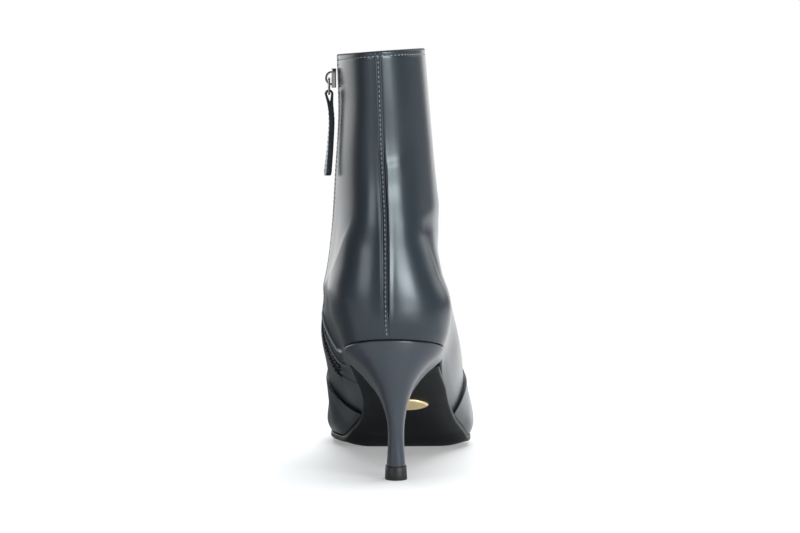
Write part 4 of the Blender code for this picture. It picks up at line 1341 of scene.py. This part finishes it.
def stitch_paths():
    """Lines of stitches: back seam, collar and both sides of the zip."""
    size = sizes()
    up = np.linspace(*SEAM_ROW_LEVELS, ROW_SAMPLES)
    lines = [on_upper((SEAM_ROW_SHIFT / seam_scale(up)) % 2.0, up)]
    rows = level_length(COLLAR_LEVEL)
    collar = np.full(ROW_SAMPLES, COLLAR_LEVEL - in_mm(size.collar_row) / rows)
    start = zip_around(-SLIT_HALF - in_mm(size.zip_row), collar[:1])[0]
    finish = zip_around(SLIT_HALF + in_mm(size.zip_row), collar[:1])[0]
    lines.append(on_upper(np.linspace(start, 2.0 + finish, ROW_SAMPLES) % 2.0, collar))
    up = np.linspace(ZIP_END_LEVEL - ZIP_ROW_START, collar[0], ROW_SAMPLES)
    for side in (1.0, -1.0):
        lines.append(on_upper(zip_around(side * (SLIT_HALF + in_mm(size.zip_row)), up), up))
    return lines


class BOOT_OT_stitching(bpy.types.Operator):
    """Rows of stitches, with the needle holes between them"""

    bl_idname = "boot.stitching"
    bl_label = "Stitching"

    def execute(self, context):
        size = sizes()
        lines = stitch_paths()
        thread = (size.stitch_length / 2, size.thread / 2, size.thread * THREAD_HEIGHT)
        hole = (size.thread * HOLE_SHARE, size.thread * HOLE_SHARE, size.thread * HOLE_HEIGHT)
        look = finish("sewing_thread")
        rows = [bead_row(*line, size.stitch_pitch, thread, (0, 0, 0), look) for line in lines]
        sewn = joined("stitches", rows, look)
        apart = (size.stitch_pitch / 2, 0, 0)
        look = finish("edge_paint")
        rows = [bead_row(*line, size.stitch_pitch, hole, apart, look) for line in lines]
        pricked = joined("needle_holes", rows, look)
        for made in (sewn, pricked):
            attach(made, "boot")
        return {"FINISHED"}


TAPE_HALF = 2.75
TAPE_FACE = -0.75
TAPE_BACK = -1.5
TAPE_STEPS = 9
TAPE_ROWS = 160
TOOTH_HALF = (0.5, 1.05, 0.7)
TOOTH_SHIFT = 0.8
TOOTH_LIFT = 0.9
STOP_HALF = (1.1, 0.8, 0.7)
STOP_LEVEL = 8.86
STOP_LENGTH = 0.4
TAPE_START = 0.04
TEETH_START = 0.06


class BOOT_OT_zip(bpy.types.Operator):
    """Woven zip tape with its coil teeth and end stops"""

    bl_idname = "boot.zip"
    bl_label = "Zip"

    def execute(self, context):
        level = np.linspace(ZIP_END_LEVEL + TAPE_START, ZIP_TOP_LEVEL, TAPE_ROWS)[:, None]
        across = np.linspace(TAPE_HALF, -TAPE_HALF, TAPE_STEPS)[None]
        around = zip_around(across, level)
        level = np.broadcast_to(level, around.shape)
        top = offset(around, level, np.full(around.shape, TAPE_FACE))
        back = offset(around, level, np.full(around.shape, TAPE_BACK))
        tape = shell("zip_tape_weave", top, back, [tape_material()] * PLAIN_LOOKS)
        run = np.concatenate([[0.0], np.cumsum(np.linalg.norm(np.diff(top[:, 0], axis=0), axis=-1))])
        flat = np.stack(np.broadcast_arrays(across, run[:, None]), axis=-1).reshape(-1, 2)
        flat = np.concatenate([flat, flat])
        chart = tape.data.uv_layers.new(name="weave")
        corners = np.zeros(len(tape.data.loops), np.int32)
        tape.data.loops.foreach_get("vertex_index", corners)
        chart.uv.foreach_set("vector", flat[corners].astype(np.float32).ravel())
        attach(tape, "boot")
        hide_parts("zip_tape")

        up = np.linspace(ZIP_END_LEVEL + TEETH_START, STOP_LEVEL, ROW_SAMPLES)
        middle = zip_around(np.zeros(ROW_SAMPLES), up)
        path = offset(middle, up, np.full(ROW_SAMPLES, TAPE_FACE))
        facing = outward(middle, up)
        tooth = tuple(value * MM for value in TOOTH_HALF)
        pitch = sizes().tooth_pitch
        rows = []
        for side, start in ((1.0, 0.0), (-1.0, pitch / 2)):
            shift = (start, side * TOOTH_SHIFT * MM, TOOTH_LIFT * MM)
            rows.append(bead_row(path, facing, pitch, tooth, shift, finish("zip_coil")))
        teeth = joined("zip_teeth", rows, finish("zip_coil"))
        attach(teeth, "boot")

        rows = []
        stop = tuple(value * MM for value in STOP_HALF)
        for end in (0, -1):
            line = np.stack([path[end], path[end] + np.array([0.0, 0.0, STOP_LENGTH])])
            normals = np.stack([facing[end], facing[end]])
            rows.append(bead_row(line, normals, MM, stop, (0, 0, TOOTH_LIFT * MM), finish("dark_nickel")))
        stops = joined("zip_stops", rows, finish("dark_nickel"))
        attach(stops, "boot")
        return {"FINISHED"}


SLIDER_FOOT = 3.7
SLIDER_FACE = 1.3
SLIDER_BEVEL = 0.45
SLIDER_OUTLINE = (
    (3.7, 5.2), (-3.7, 5.2), (-3.7, 2.0), (-2.7, -1.0), (-2.5, -5.0), (2.5, -5.0), (2.7, -1.0), (3.7, 2.0),
)
BRIDGE_HALF_WIDTH = 1.1
BRIDGE_HALF = 3.9
BRIDGE_BAR = 1.1
BRIDGE_REACH = -2.1
BRIDGE_ROOT = 0.6
BRIDGE_BEVEL = 0.25
LINK_WIRE = 0.6
LINK_HALF_WIDTH = 4.0
LINK_DROP = 8.2
LINK_CORNER = 1.2
LINK_CORNER_POINTS = 8
LINK_SIDES = 16
TAB_WIDTH = 6.0
TAB_HALF_THICKNESS = 1.4
TAB_EYE_RADIUS = 2.3
TAB_EYE_HOLE = 1.05
TAB_NECK = 8.0
TAB_HOLE_DROP = 3.6
TAB_LENGTH = 42.7
TAB_END_CORNER = 2.6
TAB_BEVEL = 0.35
TAB_ROW_INSET = 1.1
TAB_BEND_AT = (0.0, 0.3, 0.6, 1.0)
TAB_BEND = (0.0, 1.3, 0.7, -0.9)
TAB_TWIST = 15.0
TAB_SIDE_POINTS = 24
TAB_EYE_ARC = (-20.0, 200.0)
TAB_HOLE_ARC = (-15.0, 195.0)
TAB_HOLE_POINT = 0.15
TAB_NECK_SWELL = 0.25
TAB_NECK_SHARE = 0.55
TAB_TRIM_REACH = 4.0
TAB_THREAD_HEIGHT = 0.2
TAB_ROW_SAMPLES = 40
ARC_POINTS = 24
AXIS_X, AXIS_Y = 0, 1
BEVEL_SEGMENTS = 3
BEVEL_ANGLE = 35.0


def arc(centre, radius, start, end, points):
    """Points of a round arc between two angles in degrees."""
    angle = np.radians(np.linspace(start, end, points))
    return np.stack([centre[0] + radius * np.cos(angle), centre[1] + radius * np.sin(angle)], axis=-1)


def prism(name, outline, axis, low, high, look, hole=None):
    """A flat outline, with a hole if one is given, drawn out along this axis about the hinge."""
    work = bmesh.new()
    loops = [outline] if hole is None else [outline, hole]
    edges = []
    for loop in loops:
        corners = []
        for pair in loop:
            point = list(pair)
            point.insert(axis, low)
            corners.append(work.verts.new((HINGE + np.array(point)) * MM))
        edges += [work.edges.new((corners[n - 1], corners[n])) for n in range(len(corners))]
    bmesh.ops.triangle_fill(work, use_beauty=True, use_dissolve=True, edges=edges)
    grown = bmesh.ops.extrude_face_region(work, geom=list(work.faces))
    step = Vector([high - low if n == axis else 0.0 for n in range(3)]) * MM
    bmesh.ops.translate(work, vec=step, verts=[v for v in grown["geom"] if isinstance(v, bmesh.types.BMVert)])
    bmesh.ops.recalc_face_normals(work, faces=work.faces)
    mesh = bpy.data.meshes.new(name)
    work.to_mesh(mesh)
    work.free()
    mesh.materials.append(look)
    return placed(name, mesh)


def hung(points):
    """Points of the straight tab about the hinge, moved to where the worn tab hangs: bowed and twisted."""
    down = np.clip((-LINK_DROP - points[:, 2]) / TAB_LENGTH, 0.0, 1.0)
    turn = np.radians(TAB_TWIST) * down**2
    x = points[:, 0] * np.cos(turn) - points[:, 1] * np.sin(turn) + through(TAB_BEND_AT, TAB_BEND, down)
    y = points[:, 0] * np.sin(turn) + points[:, 1] * np.cos(turn)
    return np.stack([x, y, points[:, 2]], axis=-1)


def bevel(made, width):
    """Rounds the piece's sharp edges."""
    rule = made.modifiers.new("Edges", "BEVEL")
    rule.width = width * MM
    rule.segments = BEVEL_SEGMENTS
    rule.limit_method = "ANGLE"
    rule.angle_limit = math.radians(BEVEL_ANGLE)


class BOOT_OT_slider(bpy.types.Operator):
    """Zip slider with the bridge that holds its pull"""

    bl_idname = "boot.slider"
    bl_label = "Zip slider"

    def execute(self, context):
        look = finish("dark_nickel")
        body = prism("zip_slider_body", SLIDER_OUTLINE, AXIS_X, SLIDER_FACE, SLIDER_FOOT, look)
        bevel(body, SLIDER_BEVEL)
        step = np.linspace(0, 1, ARC_POINTS)
        arches = []
        for rise, half in (
            (SLIDER_FACE - BRIDGE_REACH, BRIDGE_HALF),
            (SLIDER_FACE - BRIDGE_REACH - BRIDGE_BAR, BRIDGE_HALF - BRIDGE_BAR),
        ):
            depth = SLIDER_FACE + BRIDGE_ROOT - (rise + BRIDGE_ROOT) * rounding(step, ROUND_POWER)
            arches.append(np.stack([depth, half - step * half], axis=-1))
        outer, inner = arches
        flip = np.array([1.0, -1.0])
        outline = np.concatenate([outer, outer[-2::-1] * flip, inner * flip, inner[-2::-1]])
        width = BRIDGE_HALF_WIDTH
        bridge = prism("zip_slider_bridge", outline, AXIS_Y, -width, width, look)
        bevel(bridge, BRIDGE_BEVEL)
        for made in (body, bridge):
            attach(applied(made), "boot")
        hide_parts("zip_slider")
        return {"FINISHED"}


class BOOT_OT_pull(bpy.types.Operator):
    """Wire link and folded leather tab that swing on the slider"""

    bl_idname = "boot.pull"
    bl_label = "Zip pull"

    def execute(self, context):
        inset = LINK_HALF_WIDTH - LINK_CORNER
        low = LINK_CORNER - LINK_DROP
        path = np.concatenate([
            arc((inset, -LINK_CORNER), LINK_CORNER, 0.0, 90.0, LINK_CORNER_POINTS),
            arc((-inset, -LINK_CORNER), LINK_CORNER, 90.0, 180.0, LINK_CORNER_POINTS),
            arc((-inset, low), LINK_CORNER, 180.0, 270.0, LINK_CORNER_POINTS),
            arc((inset, low), LINK_CORNER, 270.0, 360.0, LINK_CORNER_POINTS),
        ])
        heading = np.roll(path, -1, axis=0) - np.roll(path, 1, axis=0)
        heading = heading / np.linalg.norm(heading, axis=1, keepdims=True)
        side = np.stack([heading[:, 1], -heading[:, 0]], axis=-1)
        turn = np.radians(np.arange(LINK_SIDES) * 360.0 / LINK_SIDES)[None]
        out = LINK_WIRE * np.cos(turn)
        points = np.stack([
            np.broadcast_to(LINK_WIRE * np.sin(turn), (len(path), LINK_SIDES)),
            path[:, :1] + side[:, :1] * out,
            path[:, 1:] + side[:, 1:] * out,
        ], axis=-1) + HINGE
        count = len(path)
        faces = []
        for i in range(count):
            for j in range(LINK_SIDES):
                k, n = (j + 1) % LINK_SIDES, (i + 1) % count
                faces.append((i * LINK_SIDES + j, n * LINK_SIDES + j, n * LINK_SIDES + k, i * LINK_SIDES + k))
        link = new_piece("zip_link_wire", points.reshape(-1, 3), faces, [finish("dark_nickel")])
        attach(link, "pull")
        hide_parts("zip_link")

        eye = -LINK_DROP
        foot = eye - TAB_LENGTH
        half = TAB_HALF_THICKNESS
        drop = np.linspace(eye - TAB_NECK, foot, TAB_SIDE_POINTS)
        outline = np.concatenate([
            arc((0.0, eye), TAB_EYE_RADIUS, *TAB_EYE_ARC, ARC_POINTS),
            [(-half - TAB_NECK_SWELL, eye - TAB_NECK * TAB_NECK_SHARE)],
            np.stack([np.full(TAB_SIDE_POINTS, -half), drop], axis=-1),
            np.stack([np.full(TAB_SIDE_POINTS, half), drop[::-1]], axis=-1),
            [(half + TAB_NECK_SWELL, eye - TAB_NECK * TAB_NECK_SHARE)],
        ])
        hole = np.concatenate([
            arc((0.0, eye), TAB_EYE_HOLE, *TAB_HOLE_ARC, ARC_POINTS),
            [(-TAB_HOLE_POINT, eye - TAB_HOLE_DROP), (TAB_HOLE_POINT, eye - TAB_HOLE_DROP)],
        ])
        width, corner = TAB_WIDTH / 2, TAB_END_CORNER
        tab = prism("pull_tab_leather", outline, AXIS_Y, -width, width, finish("slate_leather"), hole)
        face = np.concatenate([
            [(width, eye + TAB_TRIM_REACH), (-width, eye + TAB_TRIM_REACH)],
            arc((corner - width, foot + corner), corner, 180.0, 270.0, LINK_CORNER_POINTS),
            arc((width - corner, foot + corner), corner, 270.0, 360.0, LINK_CORNER_POINTS),
        ])
        trim = prism("tab_trim", face, AXIS_X, -TAB_TRIM_REACH, TAB_TRIM_REACH, finish("slate_leather"))
        cut = tab.modifiers.new("End", "BOOLEAN")
        cut.object, cut.operation, cut.solver = trim, "INTERSECT", "EXACT"
        bevel(tab, TAB_BEVEL)
        applied(tab)
        bpy.data.objects.remove(trim)
        points = np.zeros(len(tab.data.vertices) * 3)
        tab.data.vertices.foreach_get("co", points)
        points = hung(points.reshape(-1, 3) / MM - HINGE) + HINGE
        tab.data.vertices.foreach_set("co", (points * MM).ravel())
        smoothed(tab.data)
        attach(tab, "pull")
        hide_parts("zip_pull_tab")

        rows = []
        size = sizes()
        thread = (size.stitch_length / 2, size.thread / 2, size.thread * TAB_THREAD_HEIGHT)
        look = finish("sewing_thread")
        for face_side in (-1.0, 1.0):
            for edge in (-1.0, 1.0):
                y = edge * (width - TAB_ROW_INSET)
                ends = ((face_side * half, y, eye - TAB_NECK), (face_side * half, y, foot + corner))
                line = hung(np.linspace(*ends, TAB_ROW_SAMPLES)) + HINGE
                normal = np.tile([face_side, 0.0, 0.0], (len(line), 1))
                rows.append(bead_row(line, normal, size.stitch_pitch, thread, (0, 0, 0), look))
        sewn = joined("pull_tab_stitches", rows, look)
        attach(sewn, "pull")
        return {"FINISHED"}


FLOOR_RADIUS = 9.0
FLOOR_SIDES = 96
FLOOR_TONE = 0.9
FLOOR_ROUGHNESS = 0.6
FLOOR_SPECULAR = 0.2
FLOOR_UNSEEN_TONE = 0.65
FLOOR_UNSEEN_POWER = 1.7
FLOOR_INNER = (-0.07, 0.0)
FLOOR_INNER_FROM = (-0.03, 0.05)
FLOOR_INNER_SHADE = 0.06
FLOOR_BESIDE = (0.0, 0.14)
FLOOR_AHEAD = (0.9, 1.6)
FLOOR_FRONT = (-0.05, 0.25)
FLOOR_SEEN_GLOW = 0.25
FLOOR_CLEAR = (0.12, 0.6)
BACK_BRIGHT = 1.9
BACK_DARK = 0.04
BACK_AIM = -15.0
BACK_TURN = (0.68, 0.78)
SIDE_AIM = (0.604, 0.507, 0.616)
SIDE_TURN = (0.84, 0.87)
SIDE_BRIGHT = 1.9
LEFT_KEY_PLACE = (-1.20, -0.90, 0.345)
RIGHT_KEY_PLACE = (0.92, -1.18, 0.345)
KEY_SIZE = (0.7, 0.2)
TOP_PLACE = (0.0, 0.25, 1.8)
TOP_SIZE = (1.6, 1.6)
LIGHT_COLOUR = (0.93, 0.975, 1.0)
LIGHT_AIM = (0.0, 0.05, 0.11)
FILM_WIDTH = 36.0


def back_aim():
    """The level direction of the backdrop's middle."""
    turn = math.radians(BACK_AIM)
    return math.sin(turn), math.cos(turn), 0.0


def floor_material():
    """Pale floor that turns to the white of the backdrop away from the boot; what the leather mirrors of
    it is set apart from what the camera sees: there it glows as a light ahead of and beside the boot, and
    is darkened as painted shade on the boot's inner side."""
    made, shader, add = new_material("studio_floor")
    tree = made.node_tree
    shader.inputs["Roughness"].default_value = FLOOR_ROUGHNESS
    shader.inputs["Specular IOR Level"].default_value = FLOOR_SPECULAR
    place = add("ShaderNodeTexCoord").outputs["Object"]
    far = add("ShaderNodeVectorMath", {0: place}, operation="LENGTH").outputs["Value"]
    parts = add("ShaderNodeSeparateXYZ", {"Vector": place}).outputs

    def rise(value, ends, low=0.0, high=1.0):
        return add("ShaderNodeMapRange", {
            "Value": value, "From Min": ends[0], "From Max": ends[1], "To Min": low, "To Max": high},
            interpolation_type="SMOOTHSTEP").outputs["Result"]

    def both(first, second, operation):
        return add("ShaderNodeMath", {0: first, 1: second}, operation=operation).outputs[0]

    way = add("ShaderNodeVectorMath", {0: place}, operation="NORMALIZE").outputs["Vector"]
    facing = add("ShaderNodeVectorMath", {0: way, 1: back_aim()}, operation="DOT_PRODUCT").outputs["Value"]
    distant = both(rise(facing, BACK_TURN), rise(far, FLOOR_AHEAD), "MULTIPLY")
    beside = both(rise(parts["X"], FLOOR_BESIDE), rise(parts["Y"], FLOOR_FRONT), "MULTIPLY")
    beside = both(beside, rise(far, FLOOR_AHEAD, 1.0, 0.0), "MULTIPLY")
    unseen = rise(both(distant, beside, "ADD"), (0.0, 1.0))
    camera = add("ShaderNodeLightPath").outputs["Is Camera Ray"]
    seen = add("ShaderNodeMix", {"Factor": camera}, data_type="FLOAT")
    tree.links.new(unseen, seen.inputs["A"])
    tree.links.new(rise(far, FLOOR_CLEAR, FLOOR_SEEN_GLOW, 1.0), seen.inputs["B"])
    # Painted shade: on the boot's inner side the floor is darkened in what the leather mirrors and in the
    # light it throws back.
    inner = both(rise(parts["X"], FLOOR_INNER, 1.0, 0.0), rise(parts["Y"], FLOOR_INNER_FROM), "MULTIPLY")
    inner = rise(inner, (0.0, 1.0), FLOOR_UNSEEN_TONE, FLOOR_INNER_SHADE)
    tone = rise(camera, (0.0, 1.0), inner, FLOOR_TONE)
    tree.links.new(tone, shader.inputs["Base Color"])
    strength = rise(camera, (0.0, 1.0), FLOOR_UNSEEN_POWER, 1.0)
    glow = add("ShaderNodeEmission", {"Color": (1.0, 1.0, 1.0, 1.0), "Strength": strength})
    mixed = add("ShaderNodeMixShader", {0: seen.outputs["Result"], 1: shader.outputs[0], 2: glow.outputs[0]})
    tree.links.new(mixed.outputs[0], tree.nodes["Material Output"].inputs["Surface"])
    return made


def studio_world():
    """White backdrop ahead, a dim room behind the camera; what the camera sees directly is white."""
    world = bpy.data.worlds.new("studio")
    world.use_nodes = True
    add = adder(world.node_tree)
    links = world.node_tree.links
    way = add("ShaderNodeTexCoord").outputs["Generated"]
    bright = []
    for aim, turn, most in (
        (back_aim(), BACK_TURN, BACK_BRIGHT), (Vector(SIDE_AIM).normalized(), SIDE_TURN, SIDE_BRIGHT),
    ):
        facing = add("ShaderNodeVectorMath", {0: way, 1: aim}, operation="DOT_PRODUCT")
        bright.append(add("ShaderNodeMapRange", {
            "Value": facing.outputs["Value"], "From Min": turn[0], "From Max": turn[1],
            "To Min": BACK_DARK, "To Max": most}, interpolation_type="SMOOTHSTEP").outputs["Result"])
    ahead = add("ShaderNodeMath", {0: bright[0], 1: bright[1]}, operation="MAXIMUM")
    seen = add("ShaderNodeLightPath").outputs["Is Camera Ray"]
    power = add("ShaderNodeMix", {"Factor": seen}, data_type="FLOAT")
    links.new(ahead.outputs[0], power.inputs["A"])
    power.inputs["B"].default_value = 1.0
    back = world.node_tree.nodes["Background"]
    back.inputs["Color"].default_value = (1.0, 1.0, 1.0, 1.0)
    links.new(power.outputs["Result"], back.inputs["Strength"])
    return world


def area_light(name, place, size, power):
    """A soft light that looks at the middle of the boot."""
    lamp = bpy.data.lights.new(name, "AREA")
    lamp.shape = "RECTANGLE"
    lamp.size, lamp.size_y = size
    lamp.energy = power
    lamp.color = LIGHT_COLOUR
    made = bpy.data.objects.new(name, lamp)
    made.location = place
    made.rotation_mode = "QUATERNION"
    made.rotation_quaternion = (Vector(LIGHT_AIM) - Vector(place)).to_track_quat("-Z", "Y")
    bpy.context.scene.collection.objects.link(made)


class BOOT_OT_stage(bpy.types.Operator):
    """Pale floor, soft studio light and the camera"""

    bl_idname = "boot.stage"
    bl_label = "Studio"

    def execute(self, context):
        studio = context.scene.boot_studio
        scene = context.scene
        work = bmesh.new()
        bmesh.ops.create_circle(work, cap_ends=True, segments=FLOOR_SIDES, radius=FLOOR_RADIUS)
        mesh = bpy.data.meshes.new("floor")
        work.to_mesh(mesh)
        work.free()
        mesh.materials.append(floor_material())
        floor = bpy.data.objects.new("floor", mesh)
        scene.collection.objects.link(floor)
        scene.world = studio_world()
        scene.view_settings.view_transform = "Standard"
        area_light("key_left", LEFT_KEY_PLACE, KEY_SIZE, studio.left_power)
        area_light("key_right", RIGHT_KEY_PLACE, KEY_SIZE, studio.right_power)
        area_light("top", TOP_PLACE, TOP_SIZE, studio.top_power)
        lens = bpy.data.cameras.new("camera")
        lens.lens = studio.lens
        lens.sensor_width = FILM_WIDTH
        camera = bpy.data.objects.new("camera", lens)
        camera.location = studio.camera
        camera.rotation_mode = "QUATERNION"
        camera.rotation_quaternion = (Vector(studio.target) - Vector(studio.camera)).to_track_quat("-Z", "Y")
        scene.collection.objects.link(camera)
        scene.camera = camera
        return {"FINISHED"}


class BOOT_PT_panel(bpy.types.Panel):
    """Buttons for each group of pieces, and the sizes and colours they use"""

    bl_idname = "BOOT_PT_panel"
    bl_label = "Boot"
    bl_space_type = "VIEW_3D"
    bl_region_type = "UI"
    bl_category = "Boot"

    def draw(self, context):
        column = self.layout.column(align=True)
        for step in STEPS:
            column.operator(step.bl_idname)
        for group in (context.scene.boot_sizes, context.scene.boot_colours, context.scene.boot_studio):
            column.separator()
            for name in group.__annotations__:
                column.prop(group, name)


STEPS = (
    BOOT_OT_upper, BOOT_OT_vamp, BOOT_OT_sole, BOOT_OT_heel, BOOT_OT_plate, BOOT_OT_zip, BOOT_OT_slider,
    BOOT_OT_pull, BOOT_OT_stitching, BOOT_OT_stage,
)
CLASSES = (BootSizes, BootColours, BootStudio, *STEPS, BOOT_PT_panel)


def register():
    for made in CLASSES:
        bpy.utils.register_class(made)
    bpy.types.Scene.boot_sizes = PointerProperty(type=BootSizes)
    bpy.types.Scene.boot_colours = PointerProperty(type=BootColours)
    bpy.types.Scene.boot_studio = PointerProperty(type=BootStudio)


def unregister():
    for name in ("boot_sizes", "boot_colours", "boot_studio"):
        delattr(bpy.types.Scene, name)
    for made in reversed(CLASSES):
        bpy.utils.unregister_class(made)


def main():
    register()
    for step in STEPS:
        group, name = step.bl_idname.split(".")
        getattr(getattr(bpy.ops, group), name)()


if __name__ == "__main__":
    main()
